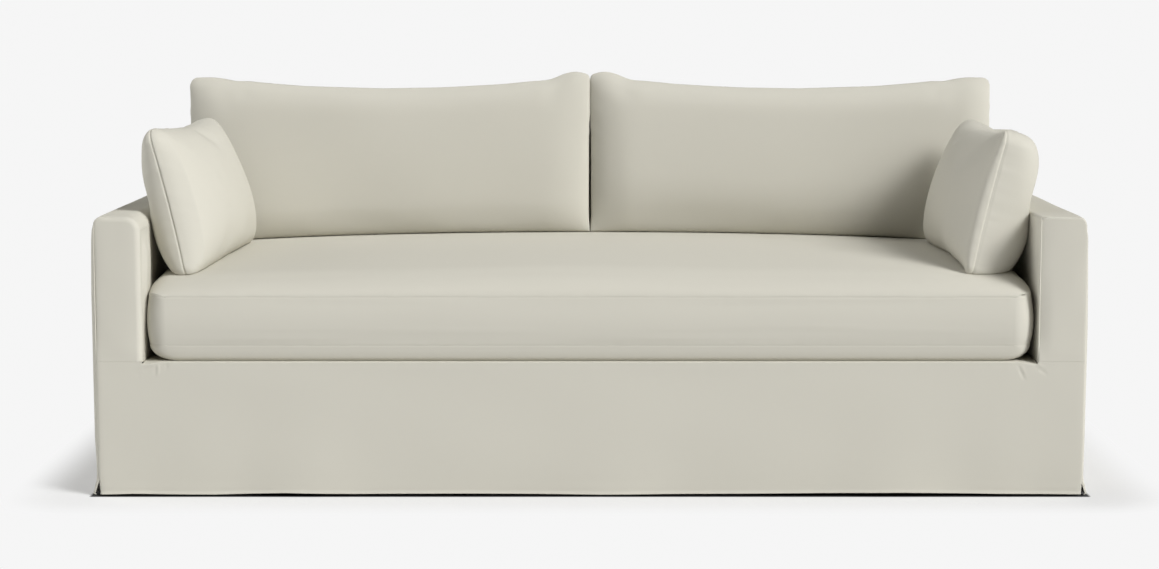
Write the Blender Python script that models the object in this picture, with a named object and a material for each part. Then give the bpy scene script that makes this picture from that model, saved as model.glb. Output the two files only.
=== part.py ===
"""Slipcover set for a three-seat sofa: a hollow fitted body cover, a bench seat
cushion, two back cushions and two small side pillows.

Metres, +Z up, +X to the sitter's left-hand arm as seen from the front, front at -Y.
The origin is on the floor under the middle of the cover.  The sofa itself is left
out, so the body cover is an open shell of cloth sheets.  Depths below are measured
from the front plane of the arms towards the back.
"""

import math

import bmesh
import bpy
import numpy as np

# ---------------------------------------------------------------- body cover
WIDTH = 2.176            # over the outside arm panels
DEPTH = 0.970            # arm fronts to the outside back
ARM_TOP = 0.620          # height of the arms
ARM_WIDTH = 0.102        # across one arm
DECK_TOP = 0.300         # height of the deck, and of the seam across the front
BACK_TOP = 0.760         # height of the back under the loose cushions
BACK_FOOT_DEPTH = 0.815  # inside back at the deck
BACK_LEAN = 0.076        # how far the inside back leans for each metre of height
CLOTH = 0.002            # thickness of one sheet
GAP = 0.0003             # between neighbouring pieces
OUTER_BEND = 0.018       # radius where a top turns down over an outer edge
BACK_BEND = 0.016        # radius where the back's top turns down
INNER_BEND = {-1: 0.016, 1: 0.005}   # radius at an arm's inner edge, by side

# ---------------------------------------------------------------- falls and hems
HEM_LIFT = 0.003         # least height of the front and back hems over the floor
SIDE_HEM_LIFT = 0.0      # the outside arms just touch the floor
FALL_WAVE = 0.0045       # how far the falls stand off at the hem, at most
FALL_POWER = 1.3         # how slowly a wave grows from the seam to the hem
FALL_AT_ARM = 0.2        # share of the waves that is left in front of the arms
SIDE_WAVE_LENGTH = 0.34  # between two waves of an outside arm
SIDE_WAVE_SHIFT = 0.2    # share of a wave by which the two arms differ
SIDE_WAVE_START = 0.12   # from a corner to where the waves are at full height
SIDE_HEM_WAVE = 0.004    # how far the outside arms' hems lift between the waves
REAR_HEM_WAVE = 0.0025   # the same for the outside back
REAR_HEM_RATE = 7.3      # radians of that wave for each metre
REAR_HEM_PHASE = 0.6
VENT_HEIGHT = 0.045      # length of the open slit at each bottom corner
VENT_FLARE = 0.014       # how far the outside arm panel turns out at a slit
VENT_REACH = 0.055       # how far along the panel it turns out
VENT_POWER = 1.6         # how sharply it turns out towards the hem
VENT_DRAW = 0.004        # how far the front fall draws in at a slit
CORNER_SAG = 0.005       # how far the deck seam is pulled down beside the arms
CORNER_SAG_REACH = 0.05

# Front hem, from the left corner to the right: place as a share of the half
# width, then how far the hem is lifted over HEM_LIFT.
FRONT_HEM = (
    # share, lift
    (-1.00, 0.000),
    (-0.86, 0.0015),
    (-0.76, 0.0005),
    (-0.62, 0.0045),
    (-0.48, 0.0020),
    (-0.25, 0.0028),
    (0.02, 0.0008),
    (0.30, 0.0022),
    (0.50, 0.0040),
    (0.63, 0.0055),
    (0.76, 0.0030),
    (1.00, 0.0005),
)
# Soft vertical waves of the front fall: middle as a share of the half width,
# half width of the wave in metres, and its height at the hem as a share of
# FALL_WAVE.
FRONT_WAVES = (
    # middle, reach, height
    (-0.80, 0.12, 0.55),
    (-0.58, 0.14, 0.95),
    (-0.27, 0.18, 0.50),
    (0.05, 0.16, 0.70),
    (0.34, 0.20, 0.45),
    (0.62, 0.15, 1.00),
    (0.84, 0.10, 0.50),
)
BACK_WAVES = (
    # middle, reach, height
    (-0.70, 0.16, 0.70),
    (-0.33, 0.18, 0.45),
    (0.02, 0.16, 0.80),
    (0.40, 0.20, 0.50),
    (0.74, 0.14, 0.75),
)
# Small pulls in the front fall that run out of each deck corner: direction in
# degrees from straight down (positive towards the arm), length, half width and
# height, in metres.
CORNER_PULLS = (
    # angle, length, reach, height
    (-62.0, 0.060, 0.006, 0.0022),
    (-22.0, 0.070, 0.007, 0.0018),
    (48.0, 0.055, 0.007, 0.0020),
)
PULL_PEAK = 0.35         # where along a pull it is highest, as a share
PULL_START = 0.6         # how wide a pull starts, as a share of its half width

# Rows and columns of the sheets' grids.
FRONT_ARM_COLUMNS = (0.0, 0.004, 0.020, 0.045, 0.072, 0.090, 0.114, 0.132, 0.157, 0.192)
FRONT_MIDDLE = 0.84      # half of the stretch that the even columns fill
FRONT_ROWS = (0.0, 0.006, 0.018, 0.034, 0.055, 0.090, 0.140, 0.200, 0.250, 0.275)
SIDE_CORNER_COLUMNS = (0.0, 0.010, 0.030, 0.060, 0.110)
SIDE_MIDDLE = (0.20, 0.78)
SIDE_LEVELS = (0.52, 0.42, 0.32, 0.22, 0.14, 0.085, 0.045, 0.028, 0.012, 0.0)
REAR_LEVELS = (0.60, 0.45, 0.30, 0.20, 0.12, 0.06, 0.02)
BACK_INSIDE_LEVELS = (0.45, 0.68)   # below and above the shoulder over the arms
BACK_END_LEVELS = (0.66, 0.70)

# ---------------------------------------------------------------- seat cushion
SEAT_FRONT = 0.012       # front of its boxing
SEAT_BACK = 0.800
SEAT_HALF = 0.9838       # half width where it is fullest
SEAT_DRAW = 0.0165       # how far the front corners draw in from that
SEAT_DRAW_DEPTH = 0.12
SEAT_CORNER = 0.035      # corner radius in plan
SEAT_LOW_SEAM = 0.335
SEAT_HIGH_SEAM = 0.442
SEAT_CROWN = 0.088       # height of the crown over the upper seam
SEAT_PEAK_DEPTH = 0.500  # where the crown is highest
SEAT_EDGE_SHARE = 0.6    # share of the crown that the round edges give
SEAT_ARCH_POWER = 0.63   # flatness of the arch that gives the rest
SEAT_BACK_FALL = 0.3     # how much of the swell is lost again at the back
SEAT_RIM = 0.060         # run of the round edge along the sides
SEAT_FRONT_RIM = 0.100   # run of the round edge along the front and back
SEAT_UNDER_RIM = 0.055   # run of the round edge underneath, at the sides
SEAT_UNDER_FRONT = 0.022 # the same at the front and back
SEAT_PUFF = 0.007        # how far the boxing swells
SEAT_ROOM = 0.90         # beyond this half width the boxing is held by the arms
SEAT_ROOM_RUN = 0.06
SEAT_ROOM_DEPTH = 0.05   # and from this depth on
SEAT_ROOM_DEPTH_RUN = 0.08
SEAT_SIDE_STEPS = (0.0, 0.010, 0.028, 0.055, 0.110)
SEAT_END_STEPS = (0.070, 0.120)

# ---------------------------------------------------------------- back cushions
BACK_INNER = 0.0009      # middle of the sofa to the inner side
BACK_OUTER = 0.9765
BACK_FRONT = 0.612       # front seam at the seat
BACK_REAR = 0.798        # rear seam at the seat
BACK_CUSHION_LEAN = 0.11
BACK_CROWN = 0.038       # swell of the front panel
BACK_REAR_CROWN = 0.038  # swell of the rear panel, before it meets the back
BACK_RIM = 0.075
BACK_FLATNESS = 0.4      # the smaller, the flatter the panels
BACK_RIM_SHARE = 0.55    # share of the swell that the round rim gives
BACK_REAR_LEAN = 0.7     # how much of the lean the rear seam follows
BACK_PANEL = 0.36        # height of a panel
BACK_TOP_ROUND = 0.020   # height that the finer rows at the top fill
BACK_REST_CLEAR = 0.0006  # to the cloth that it leans on
BACK_SEAT_CLEAR = 0.0008
BACK_FOOT_FORWARD = 0.012  # the foot's line is taken this far before the seam
BACK_SIDE_REACH = 0.16   # how far from a side its drawing in is felt
BACK_SIDE_STEPS = (0.0, 0.008, 0.022, 0.045, 0.075, 0.120)
BACK_FOOT_ROWS = (0.0, 0.02, 0.06, 0.14)
BACK_MIDDLE_ROWS = (0.28, 0.82)
BACK_CORNER = {"inner": 0.014, "outer": 0.020}
BACK_TOP_PUFF = 0.005
BACK_SIDE_DRAW = 0.0024  # how far the facing sides draw in between top and seat
# Top seam of a back cushion: place from its outer side to its inner side as a
# share of its width, then the height over the floor.
BACK_TOP_LINE = (
    # share, height
    (0.000, 0.9030),
    (0.040, 0.9037),
    (0.080, 0.8985),
    (0.105, 0.8925),
    (0.128, 0.8955),
    (0.180, 0.8903),
    (0.280, 0.8812),
    (0.480, 0.8748),
    (0.630, 0.8778),
    (0.780, 0.8868),
    (0.865, 0.8950),
    (0.905, 0.8962),
    (0.955, 0.9165),
    (0.982, 0.9175),
    (1.000, 0.9130),
)

# ---------------------------------------------------------------- side pillows
# Corners of a pillow's seam, for the left one: across, depth, height.  The
# right pillow is its mirror image but for the changes listed after it.
PILLOW_CORNERS = {
    "front_top": (-0.982, 0.100, 0.806),
    "front_bottom": (-0.898, 0.072, 0.470),
    "rear_top": (-0.912, 0.540, 0.812),
    "rear_bottom": (-0.826, 0.552, 0.506),
}
PILLOW_RIGHT_CHANGES = {
    "front_top": (0.000, 0.004, -0.002),
    "front_bottom": (0.000, 0.000, 0.000),
    "rear_top": (0.006, 0.000, -0.004),
    "rear_bottom": (0.002, -0.004, 0.000),
}
PILLOW_SWELL = {1: 0.088, -1: 0.096}   # seam plane to mid panel: seat side, arm side
PILLOW_FULLNESS = 0.36   # the smaller, the blunter the edges
PILLOW_DRAW = 0.055      # how far the sides pull in between the corners
PILLOW_CORNER = 0.034    # radius of a corner
PILLOW_SAG = 0.14        # how much fuller the lower half is
PILLOW_TURN = 0.050         # how far in the right pillow's front seam is pulled
PILLOW_TURN_RUN = 0.60
PILLOW_TURN_SHARE = {1: -0.25, -1: 0.70}  # change of the swell beside it
PILLOW_SEAT_CLEAR = 0.0011  # to the seat that it stands on
PILLOW_ARM_CLEAR = 0.0009   # to the arm that it leans on
PILLOW_OVERHANG = 0.0       # height over the arm where a pillow starts to lean across it
PILLOW_OVERHANG_RUN = 0.12
PILLOW_REACH = 0.026      # how far across the arm it may lean
PILLOW_EDGE_ROW = 0.055

LINEN = (0.60, 0.58, 0.505, 1.0)
LINEN_ROUGHNESS = 0.9

HALF_WIDTH = WIDTH / 2
ARM_INNER = HALF_WIDTH - ARM_WIDTH
INNER_SHEET = HALF_WIDTH - CLOTH - GAP   # half width of what the side sheets cover


# ---------------------------------------------------------------- small helpers
def at_depth(depth):
    """World y of a depth behind the front plane."""
    return depth - DEPTH / 2


def depth_of_back(height):
    """Depth of the inside back's front face at a height."""
    return BACK_FOOT_DEPTH + BACK_LEAN * (height - DECK_TOP)


def rise(share):
    """Quarter-round profile: 0 at an edge, 1 from a share of 1 inwards."""
    left = 1.0 - np.clip(share, 0.0, 1.0)
    return np.sqrt(np.clip(1.0 - left * left, 0.0, 1.0))


def ease(share):
    """Smooth step from 0 to 1."""
    share = np.clip(share, 0.0, 1.0)
    return share * share * (3.0 - 2.0 * share)


def hump(distance, reach):
    """Soft bump of height 1 that ends at the given reach."""
    share = np.clip(np.abs(distance) / reach, 0.0, 1.0)
    return np.cos(share * math.pi / 2) ** 2


def stations(half, edge_steps, middle_count):
    """Values from -1 to 1, close together near both ends.

    edge_steps are distances from the end in metres, for a side of the given half
    length; middle_count even steps fill the rest.
    """
    near = 1.0 - np.array(edge_steps) / half
    middle = np.linspace(-near[-1], near[-1], middle_count + 2)[1:-1]
    return np.concatenate([-near, middle, near[::-1]])


def linen(name):
    """One plain cloth material."""
    material = bpy.data.materials.new(name + "_linen")
    material.use_nodes = True
    shader = material.node_tree.nodes["Principled BSDF"]
    shader.inputs["Base Color"].default_value = LINEN
    shader.inputs["Roughness"].default_value = LINEN_ROUGHNESS
    shader.inputs["Metallic"].default_value = 0.0
    return material


def add_object(name, points, faces):
    """Closed mesh object with outward faces and its own material."""
    mesh = bpy.data.meshes.new(name)
    mesh.from_pydata([tuple(p) for p in points], [], faces)
    shape = bmesh.new()
    shape.from_mesh(mesh)
    bmesh.ops.recalc_face_normals(shape, faces=shape.faces)
    bmesh.ops.triangulate(shape, faces=shape.faces)
    shape.to_mesh(mesh)
    shape.free()
    mesh.shade_smooth()
    mesh.set_sharp_from_angle(angle=math.radians(40))
    mesh.materials.append(linen(name))
    thing = bpy.data.objects.new(name, mesh)
    bpy.context.collection.objects.link(thing)
    return thing


def add_sheet(name, outside, inside, keep=None):
    """Cloth sheet between two grids of points.

    keep says which cells of the grid are cloth; the edge runs round them.
    """
    rows, columns = outside.shape[:2]
    if keep is None:
        keep = np.ones((rows - 1, columns - 1), bool)
    count = rows * columns
    faces = []
    edges = {}
    for i, j in zip(*np.nonzero(keep)):
        cell = [
            i * columns + j,
            (i + 1) * columns + j,
            (i + 1) * columns + j + 1,
            i * columns + j + 1,
        ]
        faces.append(tuple(cell))
        faces.append(tuple(count + corner for corner in reversed(cell)))
        for start, end in zip(cell, cell[1:] + cell[:1]):
            if (end, start) in edges:
                del edges[(end, start)]
            else:
                edges[(start, end)] = True
    for start, end in edges:
        faces.append((end, start, count + start, count + end))
    points = np.concatenate([outside.reshape(-1, 3), inside.reshape(-1, 3)])
    used = sorted({corner for face in faces for corner in face})
    place = {old: new for new, old in enumerate(used)}
    faces = [tuple(place[corner] for corner in face) for face in faces]
    return add_object(name, points[used], faces)


def rim_of(rows, columns):
    """Indices round the edge of a grid, in order."""
    down = [(i, 0) for i in range(rows - 1)]
    along = [(rows - 1, j) for j in range(columns - 1)]
    up = [(i, columns - 1) for i in range(rows - 1, 0, -1)]
    back = [(0, j) for j in range(columns - 1, 0, -1)]
    return down + along + up + back


def add_cushion(name, front, rear, rings=()):
    """Filled cushion from two panel grids.

    With no rings the panels share their seam; otherwise the rings are the rows of
    the boxing between them, from the front panel's edge to the rear panel's.
    """
    rows, columns = front.shape[:2]
    rim = rim_of(rows, columns)
    points = [tuple(p) for p in front.reshape(-1, 3)]
    loop = [i * columns + j for i, j in rim]
    faces = []
    loops = [loop]
    for ring in rings:
        start = len(points)
        points.extend(tuple(p) for p in ring)
        loops.append(list(range(start, start + len(rim))))
    rear_index = {}
    if not rings:
        rear_index = {place: loop[k] for k, place in enumerate(rim)}
    for i in range(rows):
        for j in range(columns):
            if (i, j) not in rear_index:
                rear_index[(i, j)] = len(points)
                points.append(tuple(rear[i, j]))
    if rings:
        loops.append([rear_index[place] for place in rim])
    for i in range(rows - 1):
        for j in range(columns - 1):
            cell = [(i, j), (i + 1, j), (i + 1, j + 1), (i, j + 1)]
            faces.append(tuple(a * columns + b for a, b in cell))
            faces.append(tuple(rear_index[place] for place in reversed(cell)))
    for first, second in zip(loops, loops[1:]):
        for k in range(len(rim)):
            n = (k + 1) % len(rim)
            faces.append((first[n], first[k], second[k], second[n]))
    return add_object(name, points, faces)


def bend_profile(low, high, top, bend_low, bend_high, steps=4):
    """Cross-section over a top: up round one edge, flat, and down round the other.

    low and high are the two outer faces, top is the height.  Returns the points
    and their outward directions.
    """
    points = []
    outwards = []
    for k in range(steps + 1):
        angle = math.pi / 2 * k / steps
        points.append((low + bend_low * (1 - math.cos(angle)), top - bend_low * (1 - math.sin(angle))))
        outwards.append((-math.cos(angle), math.sin(angle)))
    for share in (0.33, 0.67):
        flat = low + bend_low + share * (high - bend_high - low - bend_low)
        points.append((flat, top))
        outwards.append((0.0, 1.0))
    for k in range(steps + 1):
        angle = math.pi / 2 * (1 - k / steps)
        points.append((high - bend_high * (1 - math.cos(angle)), top - bend_high * (1 - math.sin(angle))))
        outwards.append((math.cos(angle), math.sin(angle)))
    return np.array(points), np.array(outwards)


# ---------------------------------------------------------------- body cover pieces
def fall_wave(across, height, waves):
    """How far a fall stands off at a place: nothing at the seam, most at the hem."""
    total = np.zeros_like(across)
    for middle, reach, share in waves:
        total += share * hump(across - middle * HALF_WIDTH, reach)
    return FALL_WAVE * total * (1.0 - np.clip(height / DECK_TOP, 0.0, 1.0)) ** FALL_POWER


def corner_pull(across, height):
    """Raised pulls in the front fall below both deck corners."""
    total = np.zeros_like(across)
    for side in (-1, 1):
        out = side * across - ARM_INNER
        down = DECK_TOP - height
        for angle, length, reach, lift in CORNER_PULLS:
            turn = math.radians(angle)
            along = out * math.sin(turn) + down * math.cos(turn)
            aside = out * math.cos(turn) - down * math.sin(turn)
            spread = reach * (PULL_START + np.clip(along / length, 0.0, 1.0))
            ridge = hump(along - length * PULL_PEAK, length * (1.0 - PULL_PEAK))
            total += lift * hump(aside, spread) * ridge
    return total


def make_skirt_front():
    """Front fall: a full-width sheet with a wavy hem and pulls at the deck corners."""
    side = HALF_WIDTH - np.array(FRONT_ARM_COLUMNS)
    middle = np.linspace(-FRONT_MIDDLE, FRONT_MIDDLE, 22)
    across = np.concatenate([-side, middle, side[::-1]])
    down = np.array(FRONT_ROWS)
    share, lift = np.array(FRONT_HEM).T
    hem = HEM_LIFT + np.interp(across / HALF_WIDTH, share, lift)
    beside_arm = np.abs(across) - ARM_INNER
    top = DECK_TOP - CORNER_SAG * hump(beside_arm, CORNER_SAG_REACH) * (beside_arm < 0.0)
    height = np.concatenate([top[:, None] - down[None, :], hem[:, None]], axis=1)
    wide = np.repeat(across[:, None], height.shape[1], axis=1)
    vent = 1.0 - np.clip(height / VENT_HEIGHT, 0.0, 1.0)
    edge = ease((np.abs(wide) - ARM_INNER) / ARM_WIDTH)
    wide_in = wide - np.sign(wide) * VENT_DRAW * vent * edge
    off = fall_wave(wide, height, FRONT_WAVES) * (1.0 - (1.0 - FALL_AT_ARM) * edge)
    off = off + corner_pull(wide, height)
    outside = np.stack([wide_in, at_depth(0.0) - off, height], axis=-1)
    inside = outside + np.array([0.0, CLOTH, 0.0])
    return add_sheet("skirt_front", outside, inside)


def make_arm_front(side, name):
    """Upright front of one arm, with its top corners rounded."""
    across = np.linspace(0.0, 1.0, 6)
    inner_bend = INNER_BEND[side]
    low = DECK_TOP + GAP
    shared = np.array([0.0, 0.35, 0.70, 0.90]) * (ARM_TOP - OUTER_BEND - low) + low
    turn = np.radians([0.0, 30.0, 60.0, 90.0])
    arc = ARM_TOP - OUTER_BEND * (1.0 - np.sin(turn))
    height = np.concatenate([shared, arc])
    rows = []
    for level in height:
        over_out = max(0.0, (level - (ARM_TOP - OUTER_BEND)) / OUTER_BEND)
        over_in = max(0.0, (level - (ARM_TOP - inner_bend)) / inner_bend)
        outer = HALF_WIDTH - OUTER_BEND * (1.0 - math.sqrt(max(0.0, 1.0 - over_out**2)))
        inner = ARM_INNER + inner_bend * (1.0 - math.sqrt(max(0.0, 1.0 - over_in**2)))
        rows.append([(side * (inner + (outer - inner) * u), at_depth(0.0), level) for u in across])
    outside = np.array(rows)
    inside = outside + np.array([0.0, CLOTH, 0.0])
    return add_sheet(name, outside, inside)


def make_arm_inside(side, name):
    """Inner face of one arm, from the deck up to where the top turns over."""
    heights = np.linspace(DECK_TOP - CLOTH, ARM_TOP - INNER_BEND[side] - GAP, 4)
    rows = []
    for level in heights:
        depths = np.linspace(CLOTH + GAP, depth_of_back(level) - GAP, 6)
        rows.append([(side * ARM_INNER, at_depth(depth), level) for depth in depths])
    outside = np.array(rows)
    inside = outside + np.array([side * CLOTH, 0.0, 0.0])
    return add_sheet(name, outside, inside)


def make_arm_top(side, name):
    """Top of one arm, turned down over both long edges."""
    profile, outwards = bend_profile(ARM_INNER, HALF_WIDTH, ARM_TOP, INNER_BEND[side], OUTER_BEND)
    inner_profile = profile - CLOTH * outwards
    layers = []
    for section in (profile, inner_profile):
        rows = []
        for across, level in section:
            depths = np.linspace(CLOTH + GAP, depth_of_back(level) - GAP, 6)
            rows.append([(side * across, at_depth(depth), level) for depth in depths])
        layers.append(np.array(rows))
    return add_sheet(name, layers[0], layers[1])


def make_arm_outer(side, name):
    """Outside of one arm, to the floor, turned out beside the corner slits."""
    corner = np.array(SIDE_CORNER_COLUMNS)
    length = DEPTH - CLOTH - GAP
    depths = np.concatenate([corner, np.linspace(*SIDE_MIDDLE, 5), (length - corner)[::-1]])
    depths = depths + CLOTH + GAP
    high = ARM_TOP - OUTER_BEND - GAP
    heights = np.array([high, *SIDE_LEVELS])
    rows = []
    for level in heights:
        low_share = 1.0 - min(1.0, level / DECK_TOP)
        flare = VENT_FLARE * max(0.0, 1.0 - level / VENT_HEIGHT) ** VENT_POWER
        row = []
        for depth in depths:
            from_corner = min(depth, DEPTH - depth)
            near_corner = max(0.0, 1.0 - from_corner / VENT_REACH) ** VENT_POWER
            turns = depth / SIDE_WAVE_LENGTH + SIDE_WAVE_SHIFT * side
            wave = 0.5 + 0.5 * math.cos(2.0 * math.pi * turns)
            wave = wave * ease(from_corner / SIDE_WAVE_START)
            out = FALL_WAVE * wave * low_share**FALL_POWER + flare * near_corner
            lift = SIDE_HEM_LIFT + SIDE_HEM_WAVE * wave * (level == 0.0)
            row.append((side * (HALF_WIDTH + out), at_depth(depth), level + lift))
        rows.append(row)
    outside = np.array(rows)
    inside = outside - np.array([side * CLOTH, 0.0, 0.0])
    return add_sheet(name, outside, inside)


def make_deck():
    """Flat cloth under the seat cushion."""
    across = np.linspace(-(ARM_INNER - GAP), ARM_INNER - GAP, 7)
    depths = np.linspace(CLOTH + GAP, depth_of_back(DECK_TOP - CLOTH) - GAP, 4)
    outside = np.array([[(x, at_depth(depth), DECK_TOP) for depth in depths] for x in across])
    inside = outside - np.array([0.0, 0.0, CLOTH])
    return add_sheet("deck", outside, inside)


def make_back_inside():
    """Cloth behind the back cushions, widening above the arms to the outer ends."""
    narrow = ARM_INNER - GAP
    across = np.concatenate([[-INNER_SHEET], np.linspace(-narrow, narrow, 8), [INNER_SHEET]])
    shoulder = ARM_TOP - OUTER_BEND + GAP
    below, above = BACK_INSIDE_LEVELS
    heights = np.array([DECK_TOP - CLOTH, below, shoulder, above, BACK_TOP - BACK_BEND - GAP])
    outside = np.array([[(x, at_depth(depth_of_back(z)), z) for z in heights] for x in across])
    inside = outside + np.array([0.0, CLOTH, 0.0])
    keep = np.ones((len(across) - 1, len(heights) - 1), bool)
    keep[0, :2] = False
    keep[-1, :2] = False
    return add_sheet("back_inside", outside, inside, keep)


def make_back_top():
    """Strip over the top of the back, turned down at the front and the rear."""
    front = depth_of_back(BACK_TOP - BACK_BEND)
    profile, outwards = bend_profile(front, DEPTH, BACK_TOP, BACK_BEND, BACK_BEND)
    across = np.linspace(-INNER_SHEET, INNER_SHEET, 9)
    layers = []
    for section in (profile, profile - CLOTH * outwards):
        layers.append(np.array([[(x, at_depth(d), z) for x in across] for d, z in section]))
    return add_sheet("back_top", layers[0], layers[1])


def make_back_end(side, name):
    """End of the back above one arm, with rounded top corners."""
    shares = np.linspace(0.0, 1.0, 5)
    low = ARM_TOP - OUTER_BEND + GAP
    straight = BACK_TOP - BACK_BEND
    turn = np.radians([0.0, 30.0, 60.0, 90.0])
    heights = np.concatenate([[low, *BACK_END_LEVELS], straight + BACK_BEND * np.sin(turn)])
    rows = []
    for level in heights:
        over = max(0.0, (level - straight) / BACK_BEND)
        turned = BACK_BEND * (1.0 - math.sqrt(max(0.0, 1.0 - over**2)))
        front = depth_of_back(min(level, straight)) + turned
        rear = DEPTH - turned
        rows.append([(side * HALF_WIDTH, at_depth(front + (rear - front) * u), level) for u in shares])
    outside = np.array(rows)
    inside = outside - np.array([side * CLOTH, 0.0, 0.0])
    return add_sheet(name, outside, inside)


def make_back_outer():
    """Outside back, from the top strip down to the hem."""
    across = np.linspace(-INNER_SHEET, INNER_SHEET, 18)
    heights = np.array([BACK_TOP - BACK_BEND - GAP, *REAR_LEVELS])
    wide = np.repeat(across[:, None], len(heights) + 1, axis=1)
    hem = HEM_LIFT + REAR_HEM_WAVE * (1.0 + np.cos(across * REAR_HEM_RATE + REAR_HEM_PHASE)) / 2
    level = np.concatenate([np.repeat(heights[None, :], len(across), axis=0), hem[:, None]], axis=1)
    off = fall_wave(wide, level, BACK_WAVES)
    outside = np.stack([wide, at_depth(DEPTH) + off, level], axis=-1)
    inside = outside - np.array([0.0, CLOTH, 0.0])
    return add_sheet("back_outer", outside, inside)


# ---------------------------------------------------------------- seat cushion
def seat_half_width(depth):
    """Half width of the seat cushion: a little less towards the front corners."""
    near = np.clip(1.0 - (depth - SEAT_FRONT) / SEAT_DRAW_DEPTH, 0.0, 1.0)
    return SEAT_HALF - SEAT_DRAW * near**2


def seat_top(across, depth):
    """Height of the seat cushion's upper panel.

    Round edges lead into a broad crown that is highest towards the back cushions.
    """
    share = np.clip(np.abs(across) / SEAT_HALF, 0.0, 1.0)
    side_run = seat_half_width(depth) - np.abs(across)
    arch = (1.0 - share**2) ** SEAT_ARCH_POWER
    cross = SEAT_EDGE_SHARE * rise(side_run / SEAT_RIM) + (1.0 - SEAT_EDGE_SHARE) * arch
    end_run = np.minimum(depth - SEAT_FRONT, SEAT_BACK - depth)
    before = np.clip((depth - SEAT_FRONT) / (SEAT_PEAK_DEPTH - SEAT_FRONT), 0.0, 1.0)
    behind = np.clip((depth - SEAT_PEAK_DEPTH) / (SEAT_BACK - SEAT_PEAK_DEPTH), 0.0, 1.0)
    swell = (1.0 - (1.0 - before) ** 2) * (1.0 - SEAT_BACK_FALL * behind**2)
    along = rise(end_run / SEAT_FRONT_RIM) * (0.5 + 0.5 * swell)
    return SEAT_HIGH_SEAM + SEAT_CROWN * cross * along


def make_seat_cushion():
    """Bench cushion: crowned top, swelling boxing, flat under the middle."""
    half_depth = (SEAT_BACK - SEAT_FRONT) / 2
    middle_depth = (SEAT_BACK + SEAT_FRONT) / 2
    turn = np.radians([90.0, 60.0, 30.0, 0.0])
    corner_steps = list(SEAT_CORNER * (1.0 - np.sin(turn)))
    s = stations(SEAT_HALF, SEAT_SIDE_STEPS, 13)
    t = stations(half_depth, corner_steps + list(SEAT_END_STEPS), 4)
    depth = middle_depth + half_depth * t
    over = np.clip((np.abs(t) * half_depth - (half_depth - SEAT_CORNER)) / SEAT_CORNER, 0.0, 1.0)
    half = seat_half_width(depth) - SEAT_CORNER * (1.0 - np.sqrt(1.0 - over**2))
    across = s[:, None] * half[None, :]
    deep = np.repeat(depth[None, :], len(s), axis=0)
    side_run = half[None, :] - np.abs(across)
    end_run = half_depth - np.abs(deep - middle_depth)
    edge = (side_run <= 1e-9) | (end_run <= 1e-9)
    top = np.where(edge, SEAT_HIGH_SEAM, seat_top(across, deep))
    floor = DECK_TOP + GAP
    round_under = rise(side_run / SEAT_UNDER_RIM) * rise(end_run / SEAT_UNDER_FRONT)
    under = SEAT_LOW_SEAM - (SEAT_LOW_SEAM - floor) * round_under
    upper = np.stack([across, at_depth(deep), top], axis=-1)
    lower = np.stack([across, at_depth(deep), under], axis=-1)
    rim = np.array([upper[i, j] for i, j in rim_of(len(s), len(t))])
    outward = np.roll(rim, -1, axis=0) - np.roll(rim, 1, axis=0)
    outward = np.stack([-outward[:, 1], outward[:, 0]], axis=-1)
    outward = outward / np.linalg.norm(outward, axis=1)[:, None]
    centre = rim[:, :2] - np.array([0.0, at_depth(middle_depth)])
    outward = outward * np.sign((outward * centre).sum(axis=1))[:, None]
    beyond = ease((np.abs(rim[:, 0]) - SEAT_ROOM) / SEAT_ROOM_RUN)
    behind = ease((rim[:, 1] - at_depth(SEAT_ROOM_DEPTH)) / SEAT_ROOM_DEPTH_RUN)
    room = 1.0 - beyond * behind
    rings = []
    for share in (0.33, 0.67):
        level = SEAT_HIGH_SEAM + share * (SEAT_LOW_SEAM - SEAT_HIGH_SEAM)
        push = SEAT_PUFF * math.sin(math.pi * share) * room
        ring = np.column_stack([rim[:, :2] + outward * push[:, None], np.full(len(rim), level)])
        rings.append(ring)
    return add_cushion("seat_cushion", upper, lower, rings)


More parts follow.
